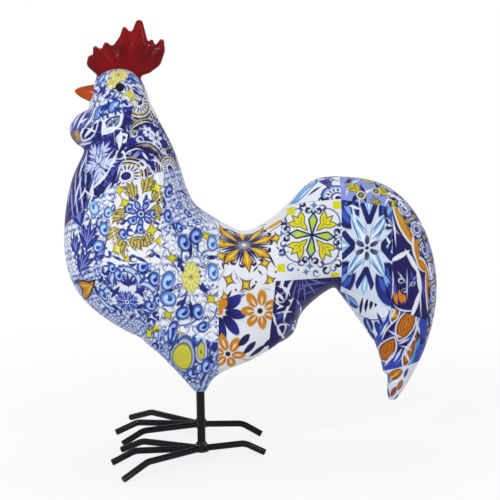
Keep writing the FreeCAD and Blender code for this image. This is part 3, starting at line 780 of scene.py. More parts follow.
def enamel(name, deep, bright, roughness, coat, ripple, scale):
    """Gloss paint: colour wanders between two shades, with a fine ripple under the coat."""
    paint, tree, surface = new_paint(name, roughness, coat, ENAMEL_COAT_ROUGHNESS)
    place = add_node(tree, "TexCoord", out="Object")
    noise = ripple_on(tree, place, surface.inputs["Normal"], scale, ENAMEL_DETAIL, ripple,
                      ENAMEL_DEPTH)
    shades = add_node(tree, "ValToRGB", noise)
    stops = ((SHADES_FROM, deep), (SHADES_TO, bright))
    for element, (position, colour) in zip(shades.node.color_ramp.elements, stops):
        element.position, element.color = position, srgb(colour)
    tree.links.new(shades, surface.inputs["Base Color"])
    return paint


# two shades, roughness, coat, ripple and the noise's scale
comb_red = enamel("comb_red", "620106", "80030d", 0.35, 0.15, 0.5, 60)
beak_orange = enamel("beak_orange", "9a3c06", "b84c0c", 0.32, 0.17, 0.2, 120)
bead_black = enamel("bead_black", "030304", "070708", 0.3, 0.25, 0.0, 90)
leg_black = enamel("leg_black", "090b10", "11141b", 0.42, 0.2, 0.3, 600)


def dress(piece, paint):
    """Give a piece one finish."""
    piece.data.materials.clear()
    piece.data.materials.append(paint)


dress(comb, comb_red)
dress(beak, beak_orange)
for name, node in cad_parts.items():
    if name.endswith("_eye"):
        dress(node, bead_black)
    elif "leg_rod" in name or "_toe" in name:
        dress(node, leg_black)
for label in ("left", "right"):
    dress(bpy.data.objects[f"{label}_weld_bead"], leg_black)

# %% The dark ring round each eye
skin_rays = BVHTree.FromObject(body_skin, bpy.context.evaluated_depsgraph_get())
RING_RADIUS, TUBE_RADIUS = 2.45 * MM, 0.45 * MM
RING_ROWS, RING_AROUND = 64, 16


def ring_points(middle, outward):
    """A round bead in a ring: its middle runs round a spot, square to the outward line."""
    across = np.cross(outward, (0.0, 0.0, 1.0))
    across /= np.linalg.norm(across)
    turn = (2 * np.pi * np.arange(RING_ROWS + 1) / RING_ROWS)[:, None, None]
    roll = (2 * np.pi * np.arange(RING_AROUND) / RING_AROUND)[None, :, None]
    spoke = np.cos(turn) * across + np.sin(turn) * np.cross(outward, across)
    reach = RING_RADIUS + TUBE_RADIUS * np.cos(roll)
    return middle + reach * spoke + TUBE_RADIUS * np.sin(roll) * outward


for label in ("left", "right"):
    bead = np.array([v.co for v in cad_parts[f"{label}_eye"].data.vertices])
    spot, outward = skin_rays.find_nearest(Vector((bead.min(0) + bead.max(0)) / 2))[:2]
    ring = ring_points(np.array(spot), np.array(outward))
    eye_ring = new_piece(f"{label}_eye_ring", ring.reshape(-1, 3), ring_faces(*ring.shape[:2]))
    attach(eye_ring, "root")
    dress(eye_ring, bead_black)

# %% [markdown]
# ## A painter made of nodes
#
# The print is worked out point by point by shading nodes. A painter holds a place on the print, as
# a vector, and the colour painted so far. Each shape gives a distance that is below zero inside
# the shape, and each fill mixes one more colour over what is there, in painter's order. Each patch
# has its own flat print, laid on the casting along the patch's average direction. Its distances
# are in units of one pixel of the picture, so a shape's place can be given as the spot of the
# picture where it shows; a ray from the camera finds that spot on the skin. The painter comes in
# three steps: a canvas that mixes colours, then shapes as distances, then strokes that fill them.

# %% The patches' middles
PRINT_UNIT = 0.655 * MM  # what one pixel of the picture shows


def patch_averages():
    """Each patch's middle and its average direction, weighted by area."""
    mesh = body_skin.data
    count = len(mesh.polygons)
    area, number = np.empty(count), np.empty(count, dtype=int)
    middle, normal = np.empty(count * 3), np.empty(count * 3)
    mesh.polygons.foreach_get("area", area)
    mesh.polygons.foreach_get("material_index", number)
    mesh.polygons.foreach_get("center", middle)
    mesh.polygons.foreach_get("normal", normal)
    averages = {}
    for index, name in enumerate(patch_names):
        mine = (number == index)[:, None] * area[:, None]
        averages[name] = (Vector((middle.reshape(-1, 3) * mine).sum(0) / mine.sum()),
                          Vector((normal.reshape(-1, 3) * mine).sum(0)).normalized())
    return averages


def picture_ray(px, py):
    """Start and direction of the line of sight through a pixel of the picture."""
    half = PICTURE_WIDTH / 2
    aim = Vector(((px - half) / FOCAL_LENGTH, (half - py) / FOCAL_LENGTH, -1))
    return camera.matrix_world.translation, camera.matrix_world.to_3x3() @ aim


def shown_spot(px, py, middle, normal):
    """The spot of the skin that a pixel shows, or of a plane where the ray misses the skin."""
    start, aim = picture_ray(px, py)
    on_plane = start + aim * ((middle - start).dot(normal) / aim.dot(normal))
    return skin_rays.ray_cast(start, aim)[0] or on_plane


def level_frame(middle, normal, upright):
    """Matrix of a print's frame: across, up and out as its columns."""
    up = (upright - normal * upright.dot(normal)).normalized()
    across = up.cross(normal)
    frame_matrix = Matrix((across, up, normal)).transposed().to_4x4()
    frame_matrix.translation = middle
    return frame_matrix


averages = patch_averages()
print(len(averages), "patches have a middle and a direction")


# %% A canvas of nodes
WOBBLE_SCALE, SOFT_RIM, RIM_STOP = 0.16, 0.45, 0.9


class Canvas:
    """A ground of colour to paint on, in print units from the print's middle.

    The middle is given as a pixel of the picture, and so are the places of all shapes unless
    they are drawn in a place of their own, such as a folded one.
    """

    def __init__(self, name, px, py, ground, wobble=0.0):
        self.tree = bpy.data.node_groups.new("print_" + name, "ShaderNodeTree")
        self.tree.interface.new_socket("Place", in_out="INPUT", socket_type="NodeSocketVector")
        self.tree.interface.new_socket("Colour", in_out="OUTPUT", socket_type="NodeSocketColor")
        self.place = self.tree.nodes.new("NodeGroupInput").outputs[0]
        self.colour = srgb(ground)
        middle, normal = averages[(name, -1)]
        upright = camera.matrix_world.to_3x3() @ Vector((0, 1, 0))
        self.frame = level_frame(shown_spot(px, py, middle, normal), normal, upright)
        self.inverse = self.frame.inverted()
        if wobble:
            self.place = self.wobbled(self.place, wobble)

    def finish(self):
        """Close the group and give it out."""
        self.tree.links.new(self.colour, self.tree.nodes.new("NodeGroupOutput").inputs[0])
        return self

    def node(self, kind, *inputs, out=0, **settings):
        """One node of the print's own tree."""
        return add_node(self.tree, kind, *inputs, out=out, **settings)

    def num(self, operation, *inputs, clamp=False):
        """An operation on numbers."""
        return self.node("Math", *inputs, operation=operation, use_clamp=clamp)

    def vec(self, operation, *inputs):
        """An operation on vectors; a distance or a length comes out as a number."""
        number = operation in ("DISTANCE", "LENGTH")
        return self.node("VectorMath", *inputs, out=1 if number else 0, operation=operation)

    def split(self, place):
        """A place's first two numbers."""
        first = self.node("SeparateXYZ", place)
        return first, first.node.outputs[1]

    def wobbled(self, place, size):
        """The place, moved by up to half the size either way, as an uneven hand would."""
        noise = self.node("TexNoise", place, None, WOBBLE_SCALE, 1.0, out=1)
        centred = self.vec("SUBTRACT", place, (size / 2, size / 2, 0))
        return self.vec("MULTIPLY_ADD", noise, (size, size, 0), centred)

    def spot(self, x, y, place=None):
        """Print units from the middle: of a pixel of the picture, or of a place's own numbers."""
        if place is not None:
            return x, y
        out = Vector(self.frame.col[2][:3])
        local = self.inverse @ shown_spot(x, y, self.frame.translation, out)
        return local.x / PRINT_UNIT, local.y / PRINT_UNIT

    def at(self, x, y, turn=0.0, long=1.0, wide=1.0, place=None):
        """The place as seen from (x, y), turned anticlockwise, counted in lengths and widths."""
        u, v = self.spot(x, y, place)
        return self.node("Mapping", place or self.place, (u, v, 0), (0, 0, math.radians(turn)),
                         (long, wide, 1), vector_type="TEXTURE")

    def inside(self, distance, edge=0.0, soft=SOFT_RIM):
        """How far inside: 1 within the edge and 0 beyond it."""
        share = (edge + soft) / (2 * soft)
        return self.num("MULTIPLY_ADD", distance, -0.5 / soft, share, clamp=True)

    def mix(self, cover, colour):
        """Mix a colour over what is there."""
        self.colour = self.node("Mix", cover, None, None, None, None, None, self.colour, colour,
                                out=2, data_type="RGBA")

    def fill(self, distance, colour, edge=0.0, soft=SOFT_RIM, within=None):
        """Mix a colour over what is there, where the distance is below the edge."""
        cover = self.inside(distance, edge, soft)
        if within is not None:
            cover = self.num("MULTIPLY", cover, within)
        self.mix(cover, srgb(colour) if isinstance(colour, str) else colour)

    def ramp(self, value, stops):
        """Colour and cover along a value from 0 to 1; a stop is (value, colour, cover)."""
        made = self.node("ValToRGB", value).node
        elements = made.color_ramp.elements
        while len(elements) < len(stops):
            elements.new(1.0)
        for element, (position, colour, cover) in zip(elements, stops):
            element.position = min(max(position, 0.0), 1.0)
            element.color = (*srgb(colour)[:3], cover)
        return made.outputs

    def wash(self, value, start, stop, *colours):
        """Even blend of the colours while the value goes from start to stop."""
        share = self.node("MapRange", value, start, stop, 0.0, 1.0)
        last = len(colours) - 1
        return self.ramp(share, [(i / last, colour, 1.0) for i, colour in enumerate(colours)])[0]

    def stamp(self, distance, reach, *bands, soft=0.05):
        """Rings of colour out to the reach; a band is (outer edge as a share of it, colour)."""
        stops, inner = [], 0.0
        for edge, colour in bands:
            stops += [(at * RIM_STOP, colour, 1.0) for at in (inner + soft, edge - soft)]
            inner = edge
        stops.append(((inner + soft) * RIM_STOP, bands[-1][1], 0.0))
        colour, cover = self.ramp(self.num("MULTIPLY", distance, RIM_STOP / reach), stops)
        self.mix(cover, colour)


print("a canvas can", [name for name in vars(Canvas) if name[0] != "_"])

# %% Shapes as distances
CURL_MIDDLE, CURL_GROWTH = 0.58, 0.42


class Shapes(Canvas):
    """Shapes for a canvas: each gives a distance, in print units unless its text says otherwise."""

    def disc(self, x, y, place=None):
        """Distance to a point."""
        u, v = self.spot(x, y, place)
        return self.vec("DISTANCE", place or self.place, (u, v, 0))

    def oval(self, x, y, long, wide, turn=0.0, place=None):
        """1 on the rim of an ellipse."""
        return self.vec("LENGTH", self.at(x, y, turn, long, wide, place))

    def ends(self, x1, y1, x2, y2, place=None):
        """Middle, direction and half length of the line between two spots."""
        (u1, v1), (u2, v2) = self.spot(x1, y1, place), self.spot(x2, y2, place)
        turn = math.degrees(math.atan2(v2 - v1, u2 - u1))
        return ((u1 + u2) / 2, (v1 + v2) / 2), turn, math.hypot(u2 - u1, v2 - v1) / 2

    def leaf(self, x1, y1, x2, y2, wide, place=None):
        """A pointed leaf between two spots: where two equal discs overlap.

        With half length L and half width w, the discs' middles lie (L² - w²) / 2w to the sides.
        """
        middle, turn, half = self.ends(x1, y1, x2, y2, place)
        folded = self.vec("ABSOLUTE", self.at(*middle, turn, place=place or self.place))
        return self.lens(folded, half, wide)

    def lens(self, folded, half, wide):
        """The leaf's distance, in a place that is folded along and across its middle line."""
        aside = (half * half - wide * wide) / (2 * wide)
        away = self.vec("DISTANCE", folded, (0, -aside, 0))
        return self.num("SUBTRACT", away, aside + wide)

    def frond(self, x1, y1, x2, y2, wide, tooth, depth, place=None):
        """A leaf with a toothed rim."""
        middle, turn, half = self.ends(x1, y1, x2, y2, place)
        there = self.at(*middle, turn, place=place or self.place)
        folded = self.vec("ABSOLUTE", there)
        smooth = self.lens(folded, half, wide)
        along = self.num("SUBTRACT", self.split(there)[0], self.split(folded)[1])
        teeth = self.num("PINGPONG", along, tooth / 2)
        return self.num("MULTIPLY_ADD", teeth, 2 * depth / tooth, smooth)

    def horn(self, x1, y1, x2, y2, rise, inner, place=None):
        """A stroke between two arcs through both ends, that rise this far to the left of the line.

        An arc that rises by s over a half length L has the radius (L² + s²) / 2s. An inner arc
        with a rise below nothing lies on the line's other side, and the stroke is a lens.
        """
        middle, turn, half = self.ends(x1, y1, x2, y2, place)
        left = Vector((-math.sin(math.radians(turn)), math.cos(math.radians(turn))))
        gaps = []
        for height, outer in ((rise, True), (inner, False)):
            radius = (half * half + height * height) / (2 * height)
            centre = Vector(middle) + left * (height - radius)
            away = self.vec("DISTANCE", place or self.place, (*centre, 0))
            terms = (away, abs(radius)) if outer or height < 0 else (radius, away)
            gaps.append(self.num("SUBTRACT", *terms))
        return self.num("MAXIMUM", *gaps)

    def ring(self, x, y, radius, place=None):
        """Distance to a circle's line."""
        return self.num("ABSOLUTE", self.num("SUBTRACT", self.disc(x, y, place), radius))

    def box(self, x, y, long, wide, turn):
        """1 on the rim of a rectangle."""
        sides = self.split(self.vec("ABSOLUTE", self.at(x, y, turn, long, wide)))
        return self.num("MAXIMUM", *sides)

    def star(self, x, y, reach, turn, place=None):
        """1 on the hollow sides of a four-pointed star: √x + √y, in units of the reach."""
        sides = self.split(self.vec("ABSOLUTE", self.at(x, y, turn, reach, reach, place)))
        return self.num("ADD", *(self.num("SQRT", side) for side in sides))

    def angle(self, place):
        """The angle of a place round its own middle, from -π to π."""
        across, up = self.split(place)
        return self.num("ARCTAN2", up, across)

    def curl(self, x, y, reach, turn, hand, thick, place=None):
        """A one-turn spiral that ends in a point at the reach, towards the turn.

        With t the angle from -π to π, the line's radius is reach · (0.58 + 0.42 t/π) and its half
        thickness is thick · reach · (1 - t/π) / 2. In units of the reach.
        """
        there = self.at(x, y, turn + 180, reach, reach * hand, place)
        angle = self.angle(there)
        line = self.num("MULTIPLY_ADD", angle, CURL_GROWTH / math.pi, CURL_MIDDLE)
        away = self.num("ABSOLUTE", self.num("SUBTRACT", self.vec("LENGTH", there), line))
        half = self.num("MULTIPLY_ADD", angle, thick / 2 / math.pi, -thick / 2)
        return self.num("ADD", away, half)

    def fold(self, x, y, count, turn=0.0, place=None):
        """A place folded `count` times round (x, y): outwards and aside of the nearest ray."""
        there = self.at(x, y, turn, place=place)
        angle = self.num("PINGPONG", self.angle(there), math.pi / count)
        away = self.vec("LENGTH", there)
        out = self.num("MULTIPLY", away, self.num("COSINE", angle))
        aside = self.num("MULTIPLY", away, self.num("SINE", angle))
        return self.node("CombineXYZ", out, aside)

    def mirror(self, x, y, turn):
        """A place folded once along a line through (x, y): along the line, and aside of it."""
        there = self.at(x, y, turn)
        return self.vec("MAXIMUM", there, self.vec("MULTIPLY", there, (1, -1, 1)))

    def tiles(self, x, y, pitch, turn):
        """A place mirrored over and over, as square tiles laid to match are."""
        sides = self.split(self.at(x, y, turn))
        return self.node("CombineXYZ", *(self.num("PINGPONG", side, pitch / 2) for side in sides))


print("shapes:", [name for name in vars(Shapes) if name[0] != "_"])

# %% Strokes that are used again and again
# a flame's side lobes: foot, tip and how far aside, as shares of its reach, and the half widths
FLAME_LOBES = ((-0.4, 0.66, 0.50), (-0.9, 0.1, 0.72))
MIDDLE_LOBE, SIDE_LOBE = 0.14, 0.13

# a bulb's bands and its coil, in units of its half sizes
CORE_EDGE, BODY_EDGE, BULB_SOFT = 0.46, 0.84, 0.1
COIL_SHIFT, COIL_REACH, COIL_TURN, COIL_THICK, COIL_SOFT = 0.05, 0.86, 35, 0.40, 0.09

STRAIGHT = 0.01  # the rise of an inner arc that would be straight


class Painter(Shapes):
    """Paints strokes over each other on the canvas."""

    def dots(self, colour, radius, *spots):
        """Round dots."""
        for x, y in spots:
            self.fill(self.disc(x, y), colour, radius)

    def leaves(self, colour, wide, *lines, place=None):
        """Pointed strokes."""
        for line in lines:
            self.fill(self.leaf(*line, wide, place), colour)

    def edged(self, distance, line, colour, edge=0.0, width=1.0, soft=SOFT_RIM):
        """A filled shape with a line round it."""
        self.fill(distance, line, edge + width, soft)
        self.fill(distance, colour, edge, soft)

    def stars(self, line, colour, edge, width, soft, *spots):
        """Edged four-pointed stars, each (x, y, reach, turn)."""
        for spot in spots:
            self.edged(self.star(*spot), line, colour, edge, width, soft)

    def bulbs(self, colours, *spots, hand=1):
        """Round heads of commas, each (x, y, long, wide, turn).

        A head is shaded from its core over its body to its rim, and has a coil drawn in it.
        """
        core, body, coil, rim = colours
        for x, y, long, wide, turn in spots:
            head = self.at(x, y, turn, long, wide)
            bands = ((CORE_EDGE, core), (BODY_EDGE, body), (1.0, rim))
            self.stamp(self.vec("LENGTH", head), 1.0, *bands, soft=BULB_SOFT)
            line = self.curl(COIL_SHIFT, 0, COIL_REACH, COIL_TURN, hand, COIL_THICK, head)
            self.fill(line, coil, 0.0, COIL_SOFT)

    def arcs(self, colour, *arcs, place=None):
        """Bent strokes, each (x1, y1, x2, y2, rise, thickness): a rise below 0 bends right."""
        for x1, y1, x2, y2, rise, thickness in arcs:
            ends = (x1, y1, x2, y2) if rise > 0 else (x2, y2, x1, y1)
            inner = abs(rise) - abs(thickness) or STRAIGHT
            self.fill(self.horn(*ends, abs(rise), inner, place), colour)

    def flames(self, line, body, vein, *spots):
        """Leaves of five pointed lobes that fan out from the foot, each (x, y, reach, turn)."""
        for x, y, reach, turn in spots:
            half = self.mirror(x, y, turn)
            lobes = self.leaf(-reach, 0, reach, 0, MIDDLE_LOBE * reach, half)
            for foot, out, aside in FLAME_LOBES:
                ends = (foot * reach, 0, out * reach, aside * reach)
                lobe = self.leaf(*ends, SIDE_LOBE * reach, half)
                lobes = self.num("MINIMUM", lobes, lobe)
            self.edged(lobes, line, body, 0.15, 0.8)
            if vein:
                foot = -0.7 * reach
                self.leaves(vein, 0.5, (foot, 0, -foot, 0), (foot, 0, 0.4 * reach, 0.34 * reach),
                            place=half)

    def curls(self, colour, thick, *spots, place=None):
        """Spirals, each (x, y, reach, turn, hand)."""
        for x, y, reach, turn, hand in spots:
            line = self.curl(x, y, reach, turn, hand, thick, place)
            self.fill(line, colour, 0.0, SOFT_RIM / reach)

    def scrolls(self, x, y, pitch, turn, strong, weak, thick=0.26):
        """Covers the ground with mirrored curls, stems and leaves, as a pen would.

        Their places are in 24ths of the pitch.
        """
        cell = self.tiles(x, y, pitch, turn)
        s = pitch / 24
        self.arcs(weak, (0, 9 * s, 12 * s, 5 * s, 3 * s, 0.8),
                  (3 * s, 0, 8 * s, 12 * s, 2.4 * s, 0.8), place=cell)
        self.curls(strong, thick, (4.0 * s, 7.2 * s, 4.8 * s, 20, 1), place=cell)
        self.curls(weak, thick, (9.2 * s, 3.0 * s, 4.0 * s, 140, -1), place=cell)
        self.leaves(strong, 1.1, (0, 0, 5.6 * s, 3.0 * s), (12 * s, 6.4 * s, 8.6 * s, 11.6 * s),
                    place=cell)
        self.leaves(weak, 0.8, (12 * s, 12 * s, 6.8 * s, 9.4 * s),
                    (0.4 * s, 12 * s, 1.2 * s, 7 * s), place=cell)
        self.fill(self.disc(8.6 * s, 8.0 * s, cell), strong, 0.8)


print("strokes:", [name for name in vars(Painter) if name[0] != "_"])

# %% [markdown]
# ## The prints, patch by patch
#
# Colours of the print, then one function for each patch. Each starts with a ground and paints
# from the large shapes to the small ones. The places are pixels of the picture.

# %% Colours of the print
NAVY, INK, WHITE = "1b1a5c", "14143a", "dfe4ef"
GOLD, YELLOW, ORANGE, BROWN = "cf981c", "dcd428", "c9801a", "5f4016"

# a bulb's core, body, coil and rim
ROYAL_BULB = ("20287c", "3c5cb8", "a4c2ee", "1b1b60")
DARK_BULB = ("1a1d66", "3450aa", "8fb0e6", "1b1b60")
COBALT_BULB = ("1f2778", "3f60b8", "9cc0ec", "1b1b60")
SKY_BULB = ("2c48a4", "5a8ad2", "b4d4f4", "24327e")
PALE_BULB = ("3456b0", "6c9cda", "bcd8f6", "2c3f88")
print("bulbs in", len({ROYAL_BULB, DARK_BULB, COBALT_BULB, SKY_BULB, PALE_BULB}), "sets of colours")


# %% [markdown]
# ### Saddle
#
# Kites and tulips, a gold cross of rays, orange flowers, dark ribbons and a dotted fan.

# %% The kites print
def print_kites():
    """Four kites between four tulips, framed by loops that end in curls."""
    p = Painter("kites", 312, 235, "dfe3ec", 0.6)
    ray, diagonal = p.fold(312, 235, 4, -4), p.fold(312, 235, 4, 43)
    loops = p.inside(p.disc(36, 0, diagonal), 15.0)
    p.fill(p.ring(19, 0, 15.0, diagonal), "5f6e9e", 0.75, within=loops)
    p.curls("3f4f8c", 0.4, (27.5, 12.5, 5.0, 200, 1), place=diagonal)
    p.curls("4f7cc0", 0.4, (21.5, 16.0, 3.4, 60, -1), place=diagonal)
    tulip = p.num("MINIMUM", p.leaf(8, 0, 28.0, 0, 2.5, diagonal),
                  p.leaf(14.5, 0, 25.5, 8.4, 2.5, diagonal))
    p.edged(tulip, INK, YELLOW, 0.2, 1.0)
    p.leaves("98891a", 0.6, (11, 0, 22, 0), (17, 1.6, 22, 5.4), place=diagonal)
    out, aside = p.split(ray)
    spread = p.num("MULTIPLY_ADD", out, -0.27, aside)
    cap = p.num("MULTIPLY_ADD", out, 0.62, p.num("ADD", aside, -14.3))
    kite = p.num("MAXIMUM", spread, cap)
    p.fill(kite, INK, 1.0)
    p.fill(kite, p.wash(out, 4, 22, "6cabd8", "9fc85a", "b9cc4a", "a8c85c", "5f9fd4"), -0.8)
    p.curls(INK, 0.5, (26.0, 5.4, 4.4, 300, 1), place=ray)
    p.leaves(INK, 0.9, (21.5, 0.5, 26.5, 2.6), place=ray)
    p.edged(p.star(31.5, 0, 6.0, 0, ray), "23366e", "5a9bd6", 0.74, 0.24, 0.09)
    for x, y in ((291, 211), (281, 268), (337, 205), (335, 277), (347, 198)):
        p.fill(p.box(x, y, 4.2, 4.2, 4), "d2cf1e", 1.0, 0.12)
    p.dots(INK, 0.9, (340, 226), (341, 240), (338, 256), (343, 232), (342, 250), (284, 224),
           (298, 270), (288, 252), (303, 203), (325, 273))
    p.curls(INK, 0.45, (344, 240, 4, 90, 1), (338, 264, 5, 180, 1), (326, 270, 5, 60, 1),
            (303, 204, 4.6, 40, -1), (283, 222, 5, 120, 1), (282, 252, 5, 200, -1))
    p.curls("3f5fa4", 0.36, (281, 253, 5, 200, 1), (291, 268, 5.4, 20, -1), (316, 273, 4.6, 0, 1),
            (334, 268, 4.4, 90, -1))
    p.edged(p.star(306, 272, 5.4, 10), "23366e", "5a9bd6", 0.74, 0.24, 0.09)
    p.fill(p.disc(312, 235), INK, 1.8)
    return p.finish()


# %% The gold cross print
def print_gold_cross():
    """Rays of dark double lines with pointed gold petals between them, and spiky stars."""
    p = Painter("gold_cross", 244, 245, "e2e4ec", 0.9)
    p.leaves("675fae", 1.9, (226, 228, 243, 235), (236, 231, 264, 233))
    p.leaves(GOLD, 3.2, (200, 212, 228, 232), (263, 231, 286, 217))
    p.leaves(BROWN, 0.8, (203, 218, 226, 236), (266, 234, 286, 220), (210, 228, 216, 234))
    ray = p.fold(244, 245, 8, 12)
    between = p.fold(244, 245, 8, 34.5)
    petal = p.num("MINIMUM", p.leaf(9, 0, 33, 0, 2.7, ray), p.leaf(17, 0.5, 28, 5.0, 1.5, ray))
    p.edged(petal, INK, "cf9a18", 0.3, 1.1)
    p.leaves("e8d04a", 1.0, (13, 0, 27, 0), place=ray)
    p.leaves("1c1a52", 1.5, (1, 0.8, 27, 1.8), place=between)
    p.curls("1c1a52", 0.5, (27.0, 4.2, 3.8, 250, 1), place=between)
    for x, y, reach, turn in ((221, 256, 14, 30), (229, 280, 12, 70), (246, 285, 13, 45),
                              (265, 263, 12, 20), (270, 281, 11, 30), (276, 238, 14, 10),
                              (225, 297, 9, 20), (205, 235, 9, 10)):
        p.edged(p.star(x, y, reach, turn), INK, "cf9a1a", 0.76, 0.17, 0.07)
        p.fill(p.disc(x, y), "dcc62a", reach * 0.16, 0.9)
    p.leaves(INK, 1.0, (219, 246, 213, 252), (214, 262, 221, 270), (232, 290, 226, 300),
             (240, 292, 252, 293), (258, 266, 253, 272), (262, 275, 258, 270), (276, 247, 284, 252),
             (271, 292, 277, 285), (256, 228, 268, 224), (216, 240, 222, 236), (268, 254, 276, 268),
             (224, 270, 222, 262), (250, 290, 256, 284))
    p.dots(INK, 1.1, (236, 290), (256, 282), (279, 258), (216, 282), (224, 243), (262, 248),
           (284, 232), (237, 278), (210, 262), (276, 272), (262, 288), (228, 264))
    p.leaves("a9b0c8", 0.9, (226, 268, 214, 290), (252, 291, 264, 296), (234, 270, 240, 284))
    return p.finish()


# %% The orange flowers print
def print_orange_flowers():
    """Orange and dark blue flowers of rounded petals on white."""
    p = Painter("orange_flowers", 244, 325, "dde2e8", 0.7)
    p.leaves("6b65aa", 2.2, (222, 302, 246, 294))
    big = p.fold(219, 311, 9, 4)
    shade = p.wash(p.split(big)[0], 8, 26, "150f48", "2a2d8c")
    p.fill(p.oval(16.2, 0, 10.3, 5.2, 0, big), shade, 1.0, 0.08)
    p.fill(p.oval(222, 304, 6, 4.2, 50), ORANGE, 1.0, 0.12)
    p.fill(p.disc(219, 311), ORANGE, 4.2)
    for x, y, count, turn, middle, long, wide in ((260, 311, 7, 88, 12.4, 6.8, 4.7),
                                                  (228, 354, 6, 2, 11.5, 7.6, 4.6)):
        petal = p.fold(x, y, count, turn)
        shade = p.wash(p.split(petal)[0], 4, 20, "b06a0c", "cd8a22")
        p.fill(p.oval(middle, 0, long, wide, 0, petal), shade, 1.0, 0.1)
        p.leaves("e9dab4", 0.6, (6, 0.2, 14, 0.8), place=petal)
        p.fill(p.disc(x, y), "e0d6c0", 3.6)
        p.fill(p.disc(x, y), "1f1640", 2.7)
    p.leaves("1a184e", 3.3, (243, 354, 256, 341), (249, 357, 266, 344), (262, 347, 277, 336),
             (238, 346, 250, 334))
    p.leaves("b98f48", 1.6, (240, 359, 270, 352))
    p.leaves(NAVY, 1.2, (216, 340, 221, 330), (218, 352, 214, 346), (274, 330, 275, 342),
             (244, 361, 262, 357))
    p.fill(p.oval(273, 334, 3.4, 6.6, 8), "1a184e", 1.0, 0.15)
    p.leaves("c3bcd4", 0.8, (262, 288, 272, 290), (246, 300, 250, 306))
    return p.finish()


# %% The night ribbons print
def print_night_ribbons():
    """Dark blue with white ribbons and a combed fan."""
    p = Painter("night_ribbons", 290, 310, "1a1a58", 1.0)
    fan = p.fold(300, 274, 15, 190)
    p.leaves("7577b4", 0.6, (5, 0, 34, 0.4), place=fan)
    p.arcs("dfe2ee", (294, 278, 286, 300, -3.5, -2.6), (277, 309, 294, 298, 3, 3.4),
           (294, 298, 284, 322, -6, -3.0), (284, 322, 296, 338, 5, 2.6),
           (276, 322, 286, 338, -5, -2.4))
    p.fill(p.ring(282, 329, 5.4), "dfe3f0", 1.1)
    p.fill(p.oval(285, 303, 6.0, 3.4, 12), "11113a", 1.0, 0.15)
    p.arcs("dfe2ee", (278, 286, 290, 296, 4, 2.2), (296, 300, 300, 318, 4, 2.4),
           (276, 314, 292, 312, 3, 2.0), (290, 330, 302, 318, -3, -2.0))
    p.curls("dfe2ee", 0.4, (280, 298, 5, 30, 1), (294, 324, 5, 200, 1))
    p.leaves("3a45a0", 2.4, (292, 318, 288, 334), (300, 300, 298, 316), (282, 312, 278, 320))
    p.leaves("dcdfec", 1.2, (281, 284, 287, 294), (277, 292, 284, 301), (275, 300, 280, 306),
             (288, 338, 299, 330), (284, 278, 280, 288), (298, 322, 294, 332), (272, 312, 276, 326))
    p.leaves("5a5da6", 1.2, (297, 292, 312, 283), (302, 296, 322, 287), (310, 299, 332, 290),
             (296, 286, 330, 282))
    return p.finish()


# %% The fan leaf print
def print_fan_leaf():
    """A sky-blue leaf, a dotted fan, a purple comma and yellow pieces on white."""
    p = Painter("fan_leaf", 318, 192, "dfe4ee", 0.6)
    p.edged(p.leaf(291, 207, 320, 177, 7.0), "27468f", "6ea6de", 0.0, 1.1)
    p.leaves("cfe2f4", 1.6, (298, 200, 313, 186))
    p.edged(p.leaf(318, 175, 332, 188, 4.4), "20205e", "3d3790", 0.0, 0.7)
    p.stamp(p.disc(339, 199), 17, (0.2, "20265e"), (0.34, "dfe4ee"), (0.44, "33459a"),
            (0.72, "e3e7f0"), (0.86, "8fa8dc"), (1.0, "33478e"), soft=0.02)
    spokes = p.fold(339, 199, 16, 0)
    p.fill(p.leaf(8, 0, 12, 0, 1.1, spokes), "1a1c50")
    p.edged(p.leaf(347, 199, 357, 176, 4.8), INK, "cfc81e", 0, 1.0)
    p.edged(p.leaf(345, 184, 359, 198, 4.0), INK, "bfa41a", 0, 1.0)
    p.leaves(INK, 0.9, (318, 199, 334, 201), (319, 203, 330, 197), (296, 207, 330, 203),
             (324, 176, 340, 182))
    p.curls(INK, 0.4, (322, 200, 4.5, 0, 1))
    p.fill(p.box(286, 212, 4, 4, 10), "d2cf1e", 1.0, 0.12)
    p.leaves("1b1c60", 1.5, (308, 196, 322, 186), (324, 180, 330, 190), (286, 208, 296, 198))
    p.leaves("4a5a9a", 0.9, (283, 214, 300, 206), (276, 224, 290, 214), (302, 178, 314, 174),
             (330, 186, 334, 178))
    return p.finish()


# %% [markdown]
# ### Tail
#
# The big star, cobalt petals, the dark panel, ribbed leaves, the tip, the rim and the crest.

